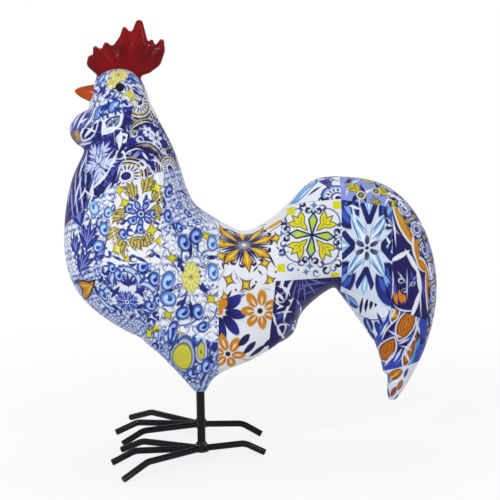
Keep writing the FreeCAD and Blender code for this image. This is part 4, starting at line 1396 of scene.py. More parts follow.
# %% The star print
def print_star():
    """A big eight-pointed star in whites and sky blues between dark corner petals."""
    p = Painter("star", 367, 248, "cfdcee", 0.8)
    tall = p.at(368, 246, -2, 0.74, 1.22)
    turned = p.fold(0, 0, 4, 45, tall)
    shade = p.wash(p.split(turned)[0], 26, 56, "15164e", "24318c")
    p.fill(p.oval(47, 0, 22, 17.0, 0, turned), shade, 1.0, 0.05)
    p.leaves("3a56b8", 3.0, (32, 6, 50, 7), place=turned)
    p.leaves("7fa8e0", 1.6, (34, 0, 48, 2), place=turned)
    ray = p.fold(0, 0, 4, 0, tall)
    out, aside = p.split(ray)
    shade = p.wash(p.split(turned)[0], 8, 44, "e6ebf6", "cbe0f4", "7fb4e2")
    p.fill(p.leaf(4, 0, 37, 0, 7.6, turned), shade)
    p.leaves("7fb4e2", 1.8, (10, 3.6, 33, 2.2), place=turned)
    p.leaves("3c5c9e", 0.7, (10, 6.8, 37, 0.8), place=turned)
    p.leaves("e9eef8", 1.4, (3, 0, 30, 0), place=turned)
    chevron = p.num("ABSOLUTE", p.num("MULTIPLY_ADD", out, -0.66, p.num("ADD", aside, 13.0)))
    near = p.inside(p.disc(31, 0, ray), 13.0)
    p.fill(chevron, p.wash(out, 18, 42, "16194e", "202c80"), 4.0, 0.4, near)
    p.fill(p.leaf(27, 0, 44, 0, 4.2, ray), "7fb4e2")
    p.leaves("e6ecf6", 1.5, (29, 0, 42, 0), place=ray)
    p.leaves("6f93cc", 0.6, (4, 2.2, 20, 5.4), place=ray)
    petal = p.fold(367, 248, 6, 30)
    shade = p.wash(p.split(petal)[0], 4, 12, "1e2050", "5a5a74")
    p.fill(p.oval(8.4, 0, 4.8, 2.5, 0, petal), shade, 1.0, 0.15)
    p.fill(p.disc(367, 248), "34345c", 2.0)
    p.leaves("e6eaf4", 1.2, (346, 204, 362, 210), (352, 205, 357, 230), (384, 224, 392, 226),
             (386, 236, 391, 246))
    p.leaves("16184e", 2.0, (384, 206, 388, 226), (389, 262, 392, 280), (348, 292, 352, 312),
             (386, 288, 390, 300), (346, 206, 354, 200), (392, 240, 388, 256))
    p.leaves("4c5d92", 0.8, (352, 200, 372, 199), (371, 240, 387, 226), (347, 284, 357, 262),
             (394, 210, 391, 240))
    return p.finish()


# %% The big petals print
def print_big_petals():
    """White with cobalt petals and a dark comb of strokes."""
    p = Painter("big_petals", 362, 305, "dde4f0", 0.8)
    petal = p.oval(349, 300, 8.6, 12.5, 24)
    p.fill(petal, p.wash(petal, 0, 1, "3450b4", "1a1f78"), 1.0, 0.06)
    p.fill(p.leaf(343, 292, 360, 308, 2.8), "7fa8e0")
    for x in range(360, 386, 5):
        p.fill(p.leaf(x, 314 - (x - 362) * 0.5, x + 3, 297, 1.7), "15164e")
    p.fill(p.oval(368, 325, 6.5, 10.5, -28), "1b1d70", 1.0, 0.08)
    p.fill(p.oval(379, 330, 4.0, 11.5, -8), "24318c", 1.0, 0.1)
    p.fill(p.oval(372, 338, 7.5, 13, -32), "1b1d70", 1.0, 0.07)
    p.fill(p.oval(354, 318, 5.5, 10, -36), "24318c", 1.0, 0.09)
    p.leaves("dde4f0", 1.3, (366, 330, 377, 346), (351, 312, 358, 324))
    p.leaves("7fa8e0", 1.6, (366, 318, 372, 333), (384, 318, 380, 340), (360, 326, 368, 346))
    p.leaves("1f2a80", 1.8, (377, 312, 384, 330), (352, 314, 362, 330), (388, 300, 390, 312),
             (372, 340, 380, 352))
    p.leaves("a9bae2", 1.5, (345, 288, 352, 316), (374, 338, 384, 350))
    p.arcs("33458f", (356, 312, 388, 316, -5, -1.6))
    return p.finish()


# %% The night panel print
def print_night_panel():
    """Dark blue with white feathered curls, an ochre leaf and an ochre band."""
    p = Painter("night_panel", 405, 260, "1a1858", 0.9)
    p.edged(p.leaf(392, 200, 420, 250, 9.5), "e2e5f0", "c98a16", -0.6, 2.2)
    p.leaves("dba83e", 1.6, (397, 212, 410, 234))
    p.leaves("8a5a12", 0.8, (400, 216, 416, 244))
    teeth = p.fold(402, 236, 26, 0)
    p.fill(p.leaf(19, 0, 27, 0, 1.4, teeth), "e2e5f0", within=p.inside(p.disc(412, 219), 14))
    for line, wide in (((414, 232, 417, 262), 5.4), ((416, 256, 427, 272), 5.6),
                       ((426, 264, 430, 324), 6.0)):
        p.fill(p.leaf(*line, wide), "e2e5f0")
    for line, wide in (((415, 232, 418, 262), 3.6), ((417, 258, 427, 272), 3.9),
                       ((426, 266, 430, 322), 4.2)):
        p.fill(p.leaf(*line, wide), "c08012")
    p.leaves("e6e8f2", 2.6, (389, 262, 410, 250), (405, 249, 419, 274), (417, 266, 421, 296),
             (421, 288, 410, 320))
    p.curls("c6cbe4", 0.3, (401, 280, 4.4, 30, 1), (413, 283, 4.0, 160, -1),
            (405, 291, 3.4, 200, 1))
    p.leaves("c6cbe4", 0.7, (407, 270, 407, 298), (398, 272, 406, 283), (416, 276, 409, 287))
    p.leaves("cf7d1c", 2.0, (394, 288, 397, 305), (399, 290, 402, 304), (403, 294, 405, 303))
    p.arcs("dcdfee", (394, 305, 416, 309, -5, -1.8), (391, 300, 392, 270, -2, -1.3))
    p.leaves("3c48ac", 1.5, (422, 275, 424, 300), (419, 250, 422, 256), (394, 282, 396, 296),
             (411, 270, 414, 286))
    p.leaves("dcdfee", 0.9, (418, 272, 421, 318), (392, 214, 396, 246))
    return p.finish()


# %% The paisley print
def print_paisley():
    """Bright blue with brown and orange leaves ribbed in white."""
    p = Painter("paisley", 400, 335, "2f45a8", 0.9)
    p.leaves("16164e", 3.4, (392, 310, 418, 306), (412, 330, 424, 350), (384, 340, 396, 316),
             (396, 352, 408, 342))
    for x1, y1, x2, y2, wide in ((399, 340, 413, 308, 8.4), (380, 364, 394, 338, 7.2),
                                 (392, 322, 398, 304, 3.4), (404, 366, 414, 340, 4.6)):
        leaf = p.leaf(x1, y1, x2, y2, wide)
        p.fill(leaf, "14143f", 1.6)
        p.edged(leaf, "dfe2ee", "8a4c12", 0.4, 1.3)
        p.fill(p.num("PINGPONG", leaf, 1.3), "c9741c", 0.75, 0.3, p.inside(leaf, -2.2))
    p.arcs("dde1ee", (421, 300, 398, 362, 7, 2.0), (400, 346, 412, 352, 3, 1.6),
           (382, 340, 398, 318, 4, 1.8))
    p.arcs("7d4c18", (419, 318, 402, 372, 5, 2.0))
    p.fill(p.box(394, 315, 2.6, 2.6, 20), "d0b428", 1.0, 0.2)
    p.leaves("d3daec", 1.2, (388, 330, 402, 338), (380, 336, 388, 322), (398, 344, 410, 338),
             (415, 318, 420, 334), (384, 366, 394, 352), (390, 320, 396, 306), (394, 362, 402, 348),
             (404, 350, 410, 362))
    p.leaves("4f93c4", 1.8, (416, 348, 408, 372), (420, 336, 415, 352))
    return p.finish()


# %% The tip print
def print_tip():
    """The tail's tip: orange and white with small orange and blue bits."""
    p = Painter("tip", 393, 380, "d9dde9", 0.8)
    p.edged(p.oval(395, 375, 9.5, 5.0, 40), "7a4210", "b8691a", 0.86, 0.16, 0.1)
    p.leaves("dcb05a", 1.0, (388, 378, 400, 370))
    p.arcs("e9ebf3", (390, 386, 404, 378, 4, 2.4))
    p.edged(p.leaf(391, 396, 396, 387, 2.0), "4a3050", "8f4a1a", 0, 0.6)
    p.edged(p.leaf(398, 390, 402, 380, 2.0), "4a3050", "a8641e", 0, 0.6)
    p.arcs("7a4210", (385, 366, 402, 364, 4, 2.2), (389, 384, 406, 370, 3, 1.4))
    p.leaves("3f4c9a", 1.8, (388, 388, 389, 398), (394, 400, 398, 394), (384, 362, 392, 364),
             (404, 378, 408, 368), (387, 372, 389, 384), (399, 366, 408, 360))
    return p.finish()


# %% The rim print
def print_rim():
    """The tail's pale outer edge: scales and leaves in white, lilac and blue."""
    p = Painter("rim", 425, 250, "b9bed6", 1.4)
    cell = p.tiles(425, 250, 24, 20)
    p.stamp(p.disc(0, 0, cell), 11.0, (0.3, "3b4c9c"), (0.42, "dcdad2"), (0.62, "7388c8"),
            (0.8, "d2cfc4"), (1.0, "44569c"), soft=0.03)
    p.fill(p.leaf(5, 5, 12, 12, 2.8, cell), "28327e")
    p.leaves("a8903c", 1.6, (2, 11.5, 11, 11.5), place=cell)
    p.leaves("5566b4", 1.8, (414, 200, 424, 232), (426, 236, 431, 262), (424, 270, 430, 312),
             (404, 186, 414, 204))
    p.leaves("14143f", 1.7, (420, 232, 426, 250), (427, 282, 430, 300), (398, 192, 408, 198),
             (410, 210, 417, 216), (422, 262, 427, 276), (426, 310, 430, 330))
    p.leaves("eceef5", 1.6, (395, 196, 408, 212), (416, 222, 428, 228), (428, 262, 432, 280),
             (402, 188, 412, 200))
    return p.finish()


# %% The crest band print
def print_crest_band():
    """A band of yellow lilies and round flowers on periwinkle along the tail's crest."""
    p = Painter("crest_band", 372, 190, "8796d2", 0.8)
    p.arcs("dde2f0", (346, 196, 360, 180, 5, 3.2), (358, 204, 376, 190, 6, 3.4),
           (376, 184, 392, 188, 5, 3.0), (384, 206, 402, 198, 5, 3.2), (366, 178, 378, 176, 3, 2.2),
           (394, 210, 410, 212, 4, 2.6))
    p.leaves("1b1c60", 2.2, (360, 184, 366, 204), (374, 182, 382, 196), (388, 200, 396, 214),
             (352, 202, 358, 194), (380, 176, 390, 184), (346, 184, 352, 178))
    p.flames("17183c", "d2c524", "857f14", (353, 187, 8.5, 130), (369, 180, 8.5, 80),
             (384, 190, 9, 60), (397, 204, 9, 30), (376, 204, 7, 100))
    for x, y, reach in ((361, 195, 5.2), (376, 191, 5.2), (391, 197, 4.6), (362, 180, 3.6)):
        p.stamp(p.disc(x, y), reach, (0.4, "7a9a44"), (0.66, INK), (0.85, "dfe3ee"),
                (1.0, "cf9f1c"), soft=0.06)
    p.fill(p.leaf(397, 203, 408, 214, 2.2), "6a8cd4")
    p.arcs("1b1c60", (358, 202, 378, 202, -4, -1.6), (376, 186, 392, 184, 4, 1.6))
    return p.finish()


# %% [markdown]
# ### Flank
#
# Paired volutes, a strip of fine scrolls, the yellow-green disc and the belly's hem.

# %% The volutes print
def print_volutes():
    """Pairs of blue volutes joined by thin stems, yellow stars and a pale pompom flower."""
    p = Painter("volutes", 192, 275, "e6e9f1", 0.7)
    p.scrolls(192, 276, 31, 0, "6170a8", "97a1c8", 0.18)
    p.arcs("44558f", (190, 262, 168, 246, 8, 1.6), (168, 322, 206, 304, -12, -1.8),
           (176, 262, 180, 312, 9, 1.8), (204, 300, 222, 284, -4, -1.4),
           (166, 264, 180, 276, 4, 1.4), (204, 256, 198, 232, 6, 1.8), (176, 240, 184, 228, 5, 2.2),
           (182, 262, 192, 250, -4, -2.0), (214, 258, 222, 240, -4, -1.4),
           (160, 290, 172, 312, 6, 1.6), (206, 324, 216, 304, -5, -1.8),
           (178, 324, 190, 304, 5, 2.4), (190, 240, 182, 262, -5, -2.6),
           (192, 232, 196, 256, 5, 2.6), (176, 284, 190, 292, 4, 2.2),
           (178, 298, 190, 288, -3, -2.2), (208, 268, 196, 262, 3, 2.0),
           (210, 250, 200, 258, -3, -2.0), (202, 302, 190, 304, 4, 2.2))
    p.leaves("1a1a5a", 2.4, (189, 236, 191, 258), (190, 300, 192, 320), (164, 290, 174, 290),
             (206, 258, 217, 257))
    p.bulbs(COBALT_BULB, (184, 243, 6.6, 9.4, 14))
    p.bulbs(DARK_BULB, (196, 236, 6.8, 9.4, -16))
    p.bulbs(SKY_BULB, (168, 281, 7.0, 10.4, -18), (168, 299, 7.4, 9.0, 60))
    p.bulbs(PALE_BULB, (212, 243, 5.8, 9.0, -6), (213, 272, 5.6, 9.2, 4))
    p.bulbs(COBALT_BULB, (183, 313, 8.0, 6.6, 24), (198, 312, 6.0, 8.6, 8))
    p.bulbs(("2c48a4", "5078c8", "a9c8f0", "1f2260"), (155, 280, 5.2, 7.4, 10))
    p.bulbs(DARK_BULB, (173, 328, 4.8, 8.0, -20), (203, 327, 6.8, 5.4, 30), (180, 226, 3.8, 7.2, 0))
    squeeze = p.at(191, 277, 0, 9.8, 15.8)
    petal = p.fold(0, 0, 10, 0, squeeze)
    p.fill(p.oval(0.62, 0, 0.42, 0.30, 0, petal), "a39a3c", 1.0, 0.1)
    p.fill(p.oval(0.62, 0, 0.36, 0.24, 0, petal), "ddd97a", 1.0, 0.12)
    p.fill(p.vec("LENGTH", squeeze), "dfdb86", 0.5, 0.06)
    p.fill(p.leaf(0.35, 0, 0.9, 0, 0.05, petal), "b5ab40", 0, 0.03)
    p.stamp(p.disc(191, 277), 3.4, (0.45, "6f8090"), (1.0, "c6bd48"), soft=0.08)
    p.stars("4c4c24", "cfc524", 0.86, 0.16, 0.08, (172, 258, 9.5, 8), (168, 315, 9, 30),
            (206, 236, 9, 20), (211, 299, 10, 40), (219, 303, 7, 0), (178, 334, 8, 10))
    p.leaves("222c76", 2.1, (176, 258, 184, 262), (180, 264, 184, 272), (178, 268, 182, 258),
             (176, 306, 184, 300), (180, 310, 186, 296), (198, 284, 208, 294), (202, 282, 204, 292),
             (200, 289, 210, 290))
    p.leaves("6f7cac", 0.7, (196, 250, 204, 268), (174, 290, 184, 286), (214, 256, 220, 262),
             (207, 308, 220, 316), (180, 250, 176, 240), (186, 324, 196, 322), (209, 256, 204, 280))
    p.dots("2a357c", 1.2, (178, 285), (176, 288), (179, 291), (200, 272), (201, 276), (186, 258),
           (206, 318), (213, 285), (216, 322), (162, 292))
    return p.finish()


# %% The scroll strip print
def print_scroll_strip():
    """Fine pale scrolls with dark blue commas."""
    p = Painter("scroll_strip", 175, 208, "d6dcec", 0.8)
    p.scrolls(175, 208, 22, 12, "4f62a8", "7a8ec8")
    p.bulbs(("20287c", "3450aa", "9cb8ea", "1b1b60"), (169, 191, 4.8, 7.2, -30),
            (168, 216, 4.2, 7.4, -10), (180, 228, 3.8, 7.2, 0), (188, 213, 4.0, 5.4, 30),
            (196, 222, 3.0, 4.2, 20), (180, 205, 3.2, 4.4, 10))
    p.curls("222a74", 0.5, (162, 205, 4.8, 90, 1), (188, 232, 4.6, 20, -1), (176, 240, 4.4, 200, 1),
            (198, 208, 4.4, 60, 1))
    p.leaves("222c76", 1.4, (161, 196, 166, 204), (172, 222, 176, 232), (190, 200, 196, 206),
             (185, 238, 190, 230), (166, 238, 176, 246), (178, 190, 188, 196))
    p.leaves("9a8c54", 1.0, (186, 206, 206, 216), (196, 216, 214, 226))
    p.dots("222c76", 1.2, (174, 200), (184, 218), (170, 228), (192, 226), (163, 214), (186, 198))
    return p.finish()


# %% The belly disc print
def print_belly_disc():
    """A yellow-green disc and lobes between grey-blue rings and volutes."""
    p = Painter("belly_disc", 185, 352, "bccae2", 0.9)
    p.scrolls(185, 352, 20, 30, "3f5296", "6f84bc", 0.44)
    for x, y, long, wide, turn in ((186, 335, 9.5, 8.0, 10), (201, 352, 6.6, 10.5, -14)):
        p.stamp(p.oval(x, y, long, wide, turn), 1.0, (0.12, "5f6a34"), (0.5, "bfb840"),
                (0.62, "66739c"), (0.8, "bcc8e0"), (1.0, "44568f"), soft=0.04)
    p.stamp(p.disc(182, 358), 14.2, (0.68, "c9c244"), (0.78, "6a6f44"), (0.88, "a3b3d2"),
            (1.0, "3f528c"), soft=0.03)
    hatch = p.num("PINGPONG", p.split(p.at(182, 358, 30))[0], 1.1)
    p.fill(hatch, "aeb034", 0.3, 0.3, p.inside(p.disc(182, 358), 8.6))
    p.bulbs(("20287c", "3c5cb8", "a4c2ee", "1f2260"), (206, 367, 5.0, 7.4, -30),
            (173, 328, 4.8, 7.4, -20), (202, 326, 7.0, 5.2, 20), (213, 336, 5.0, 6.2, 0),
            (160, 348, 5.4, 4.6, 0), (192, 374, 5.4, 6.4, 20))
    p.curls("2c3c82", 0.46, (196, 370, 6.4, 30, 1), (170, 345, 5.4, 120, -1),
            (214, 350, 5.4, 300, 1), (188, 378, 5, 200, 1))
    p.dots("202c68", 1.2, (194, 344), (172, 338), (178, 342), (209, 344), (210, 358), (196, 362))
    p.leaves("1f2a6c", 1.6, (212, 342, 216, 352), (208, 356, 214, 364), (176, 322, 186, 318),
             (206, 372, 200, 384))
    return p.finish()


# %% The hem print
def print_hem():
    """Blue rings and yellow stars at the belly's front."""
    p = Painter("hem", 155, 332, "cdd6e8", 0.8)
    p.scrolls(155, 332, 20, 15, "44579c", "7488c4", 0.44)
    p.stars("4f4c24", "cfc228", 0.84, 0.16, 0.08, (157, 325, 10, 20), (149, 334, 9, 20),
            (165, 345, 7, 20))
    p.curls("222c76", 0.5, (162, 316, 5.4, 40, 1), (146, 322, 5.4, 180, -1), (168, 334, 5.4, 90, 1),
            (156, 346, 5.4, 250, 1))
    return p.finish()


# %% [markdown]
# ### Breast, neck and head
#
# The medallion, olive leaves, dark sprays, the ochre bud, ribbons, the nape and the head.

# %% The medallion print
def print_medallion():
    """A rosette in a doubled quatrefoil line, with palmettes and dark commas round it."""
    p = Painter("medallion", 127, 298, "d9dfec", 0.8)
    p.scrolls(127, 298, 27, 45, "3f5096", "6b7cb4", 0.24)
    p.arcs("8ea2d2", (100, 276, 110, 286, 4, 1.4), (142, 282, 152, 268, 4, 1.4),
           (152, 312, 168, 324, 5, 1.6), (104, 320, 116, 330, -4, -1.4),
           (146, 244, 160, 262, 6, 1.6))
    lobe = p.fold(127, 298, 4, 0)
    arch = p.ring(15.5, 0, 15.0, lobe)
    outside = p.num("SUBTRACT", 1.0, p.inside(p.disc(127, 298), 17.5))
    p.fill(p.disc(127, 298), "d9dfec", 18.0, 2.0)
    p.fill(arch, "3f5396", 3.3, 0.5, outside)
    p.fill(arch, "b4c6e8", 1.7, 0.5, outside)
    cusp = p.fold(127, 298, 4, 45)
    p.leaves("33458f", 1.9, (20, 0, 31, 0), (16, 3, 23, 7), place=cusp)
    p.curls("222c80", 0.5, (34, 6.0, 6.2, 100, 1), place=cusp)
    snow = p.fold(127, 302, 8, 0)
    p.fill(p.leaf(2, 0, 13, 0, 1.7, snow), "2c3c90")
    p.leaves("4a64b4", 1.2, (7, 1.0, 13, 4.6), (4, 2.4, 8, 3.2), place=snow)
    p.stamp(p.disc(127, 302), 4.0, (0.34, "222c78"), (0.6, WHITE), (1.0, "4058ac"), soft=0.05)
    palm = p.mirror(128, 282, 90)
    p.leaves("202a7c", 1.6, (-6, 0, 9, 0), (-5, 0.6, 6, 5), (-4, 1.2, 1.5, 8.2), place=palm)
    p.leaves("202a7c", 2.3, (109, 290, 121, 294), (111, 298, 120, 286), (134, 293, 146, 289),
             (136, 286, 144, 298), (120, 314, 128, 323), (134, 313, 128, 325), (112, 306, 120, 310),
             (136, 309, 144, 304))
    p.bulbs(ROYAL_BULB, (118, 275, 4.8, 7.2, 12), (143, 265, 6.0, 8.0, -30),
            (154, 279, 5.4, 7.4, 10), (103, 295, 4.6, 8.0, 20), (150, 306, 5.4, 7.0, 40),
            (139, 322, 5, 6.2, 0), (158, 300, 4.0, 7.0, 0), (108, 312, 4.6, 6.6, 30),
            (112, 268, 4.4, 5.6, 0))
    p.curls("2c3c86", 0.44, (132, 262, 6.6, 200, 1), (150, 254, 5.6, 60, -1),
            (163, 270, 5.6, 100, 1), (161, 288, 5.6, 260, -1), (106, 282, 5.4, 150, 1),
            (146, 316, 5.4, 320, 1), (122, 328, 5.4, 20, 1), (160, 318, 5.6, 90, 1),
            (127, 256, 5, 20, -1), (98, 310, 5, 200, 1))
    p.dots("1c2468", 1.25, (154, 292), (157, 296), (156, 286), (124, 270), (120, 266), (136, 274),
           (100, 286), (98, 302), (114, 320), (144, 300), (162, 308), (134, 330), (150, 271),
           (161, 262))
    return p.finish()


# %% The gold leaves print
def print_gold_leaves():
    """Olive and gold acanthus leaves with yellow lilies round a blue rosette."""
    p = Painter("gold_leaves", 137, 218, "eaecf2", 0.9)
    p.arcs("7f8fc4", (112, 200, 130, 186, 5, 1.4), (112, 222, 132, 206, -5, -1.4),
           (150, 232, 162, 214, 5, 1.4), (120, 232, 140, 240, 6, 1.5), (144, 176, 160, 196, 6, 1.5),
           (108, 262, 126, 254, 5, 1.4), (150, 262, 166, 240, 6, 1.4), (124, 226, 110, 244, 4, 1.3))
    rosette = p.fold(141, 214, 7, 10)
    p.fill(p.oval(9.5, 0, 5.2, 3.3, 0, rosette), "33469c", 1.0, 0.12)
    p.fill(p.oval(9.5, 0, 3.0, 1.6, 0, rosette), "8ba4de", 1.0, 0.2)
    p.leaves("2a3a90", 1.6, (14, 2, 21, 5), (13, 0, 20, -3), place=rosette)
    p.stamp(p.disc(141, 214), 5.0, (0.3, "1b1a5c"), (0.6, "b9c6e8"), (1.0, "2c3c94"), soft=0.05)
    veins = p.num("MULTIPLY", p.angle(p.at(139, 216)), 17.0)
    olive = p.wash(p.num("PINGPONG", veins, 1.0), 0, 1, "55481a", "ab9640", "c9b967", "d3c67c")
    p.flames("4f4519", olive, None, (148, 184, 9.5, 60), (158, 197, 9, -50), (156, 213, 9.5, -100),
             (131, 190, 9, 120), (118, 216, 9.5, -130), (112, 233, 9, 200), (121, 247, 9.5, -70),
             (137, 243, 9.5, -20), (147, 240, 8, 50))
    p.leaves("2c3c90", 1.7, (112, 256, 126, 262), (134, 256, 148, 263), (152, 252, 164, 260),
             (106, 262, 116, 266))
    p.leaves("a8973a", 1.6, (120, 254, 132, 262), (144, 258, 158, 252))
    p.stars("55501c", "d6d026", 0.84, 0.14, 0.07, (119, 190, 11, 10), (125, 203, 11, 30),
            (157, 188, 12, 20), (152, 230, 12, 10), (117, 249, 11, 30), (160, 241, 11, 0),
            (164, 251, 8, 20), (128, 259, 8, 10))
    p.bulbs(ROYAL_BULB, (140, 229, 4.0, 5.6, 10), (129, 208, 3.8, 5.6, -30),
            (146, 168, 4.4, 5.6, 0), (123, 234, 4.4, 6.0, 20), (132, 221, 3.8, 5.4, 60),
            (153, 214, 3.4, 5.0, 20))
    p.curls("2f4192", 0.46, (130, 232, 5.6, 30, 1), (111, 208, 5.6, 140, 1), (161, 228, 5, 60, -1),
            (133, 258, 5.2, 10, 1), (151, 254, 5.2, 190, 1), (108, 254, 5.2, 90, -1),
            (112, 196, 5, 30, 1), (122, 222, 4.6, 200, 1), (146, 202, 4.6, 300, -1),
            (164, 214, 4.6, 90, 1))
    p.dots("28327e", 1.2, (134, 200), (148, 222), (116, 214), (144, 240), (126, 242), (160, 200),
           (106, 248), (136, 264))
    return p.finish()


# %% The sprays print
def print_sprays():
    """White with dark leaf sprays, sky-blue volutes and small commas."""
    p = Painter("sprays", 93, 235, "e4e8f1", 0.9)
    p.scrolls(93, 235, 27, 10, "44559c", "7c8cc2", 0.24)
    p.flames("161a5c", "2a3490", "8fa4e0", (88, 236, 15, 80), (78, 214, 13, 110), (84, 262, 15, 50),
             (75, 244, 11, 100), (102, 252, 9, 30), (71, 196, 12, 100), (94, 276, 9, 20))
    p.bulbs(("3f7ac6", "7fb2e6", "c2dcf6", "2a52a4"), (94, 208, 5.4, 8.2, 20), hand=-1)
    p.curls("33458f", 0.4, (102, 224, 8, 40, -1), (84, 248, 5.4, 30, 1), (97, 259, 5.4, 200, -1),
            (76, 256, 5, 60, 1), (109, 238, 5, 90, 1), (88, 280, 5, 0, 1))
    p.bulbs(("2a48a4", "5a8ad2", "b4d4f4", "1b1b60"), (104, 229, 5.0, 7.6, 10),
            (98, 246, 5.6, 7.0, -40), (100, 264, 3.8, 6.0, 20), (84, 202, 4.0, 7.4, 30),
            (108, 212, 3.8, 6.0, 0), (92, 276, 3.8, 5.8, 40))
    p.fill(p.box(105, 266, 4.4, 4.4, 15), "cfc628", 1.0, 0.14)
    p.fill(p.oval(68, 216, 3.0, 9, 10), "b8862a", 1.0, 0.3)
    hatch = p.num("PINGPONG", p.split(p.at(103, 276, 35))[0], 1.3)
    p.fill(hatch, "54458f", 0.75, 0.4, p.inside(p.oval(103, 276, 9, 6, -10), 1.0, 0.15))
    p.dots("232d78", 1.2, (88, 218), (96, 236), (82, 232), (90, 252), (98, 218), (76, 252),
           (86, 274), (80, 226))
    return p.finish()


# %% The ochre bud print
def print_ochre_bud():
    """An ochre two-petal bud with a brown line, among blue leaves."""
    p = Painter("ochre_bud", 92, 286, "cfd7e8", 0.9)
    p.scrolls(92, 286, 22, 0, "4a5ca4", "7a8ec6", 0.42)
    bud = p.num("MINIMUM", p.leaf(78, 284, 94, 286, 4.6), p.leaf(84, 298, 94, 281, 4.4))
    p.edged(bud, "2c1c0a", "b97d18", -0.4, 2.0)
    p.leaves("dcb452", 0.9, (81, 285, 91, 286), (87, 294, 92, 285))
    p.leaves("1f2a74", 1.8, (96, 300, 106, 304), (80, 302, 88, 308), (98, 278, 104, 286),
             (74, 284, 80, 278), (94, 284, 100, 298))
    p.bulbs(ROYAL_BULB, (103, 296, 4.4, 7.0, 20))
    p.curls("2c3c86", 0.46, (94, 308, 5.4, 30, 1), (110, 318, 5.4, 200, 1), (82, 274, 4.4, 90, 1),
            (118, 330, 5.4, 20, 1), (134, 338, 5, 100, 1), (100, 320, 5, 0, -1))
    p.dots("1f2a74", 1.2, (92, 300), (100, 308), (76, 292), (88, 272))
    return p.finish()


# %% The blue ribbons print
def print_ribbons_blue():
    """Royal blue with a white leaf, ribbons that end in spirals, and a pale spray of flowers."""
    p = Painter("ribbons_blue", 104, 148, "1e1f72", 1.2)
    p.scrolls(104, 148, 26, 30, "4a4fa4", "12133f", 0.18)
    p.fill(p.leaf(70, 150, 92, 108, 8), "171864")
    # The pale stripes by the neck's front edge, and the dark fill in the same stripes, are a
    # painted reflection.
    across, up = p.split(p.place)
    reflection_stripes = p.num("PINGPONG", p.num("MULTIPLY_ADD", up, 0.25, across), 4.2)
    reflection_area = p.inside(p.oval(80, 184, 14, 34, -8), 1.0, 0.2)
    p.fill(reflection_stripes, "b3bde0", 1.1, 0.5, reflection_area)
    p.fill(reflection_stripes, "121246", -2.4, 0.5, reflection_area)
    p.leaves("14144c", 2.2, (84, 150, 76, 190), (92, 166, 84, 204), (74, 168, 69, 200),
             (112, 156, 106, 180))
    p.leaves("dfe3f2", 1.1, (88, 150, 78, 178), (82, 176, 74, 206), (96, 176, 88, 200),
             (72, 180, 68, 206))
    p.fill(p.oval(98, 158, 8.0, 12, -14), "5560b0", 1.0, 0.25)
    p.flames("2a3690", "c3cdec", None, (103, 150, 10, 50), (94, 152, 10, 125), (99, 162, 11, 80),
             (108, 163, 9, 10), (90, 167, 9, 200), (100, 176, 10, -80))
    eye = p.leaf(102, 134, 122, 114, 6.4)
    p.edged(eye, "e3e7f4", "17174c", -1.5, 2.2)
    p.fill(p.leaf(105, 131, 119, 117, 3.6), "8f9cc8")
    p.leaves("17174c", 0.8, (106, 130, 118, 118), (108, 124, 114, 128), (111, 120, 117, 124))
    p.arcs("e3e7f4", (101, 118, 102, 136, 5, 4.0), (102, 136, 124, 130, 6, 3.4),
           (121, 130, 119, 150, -2, -3.6), (120, 150, 108, 172, -2, -2.8),
           (110, 168, 90, 190, 4, 3.0), (92, 184, 88, 206, 4, 2.6), (96, 196, 84, 188, 3, 1.6),
           (86, 186, 78, 200, 3, 2.0), (104, 170, 114, 150, 3, 1.4))
    p.curls("e3e7f4", 0.42, (124, 139, 7.0, 250, 1), (120, 154, 6.0, 200, -1))
    leaf = p.leaf(82, 141, 98, 118, 5.6)
    p.edged(leaf, "dfe3f2", "1a1c66", -1.0, 1.6)
    p.leaves("dfe3f2", 1.1, (84, 138, 94, 124), (86, 128, 96, 132))
    p.fill(p.oval(75, 134, 5.4, 8.0, 10), "a8916a", 1.0, 0.3)
    p.leaves("5f4c2c", 0.9, (71, 130, 78, 140), (74, 128, 76, 142))
    p.leaves("cdd4ec", 1.1, (76, 116, 88, 108), (100, 116, 112, 112), (121, 122, 128, 132),
             (80, 146, 92, 142), (114, 182, 122, 162), (104, 194, 112, 182))
    p.leaves("14144c", 1.5, (116, 158, 126, 142), (112, 186, 118, 168), (98, 190, 106, 178),
             (126, 132, 122, 122))
    return p.finish()


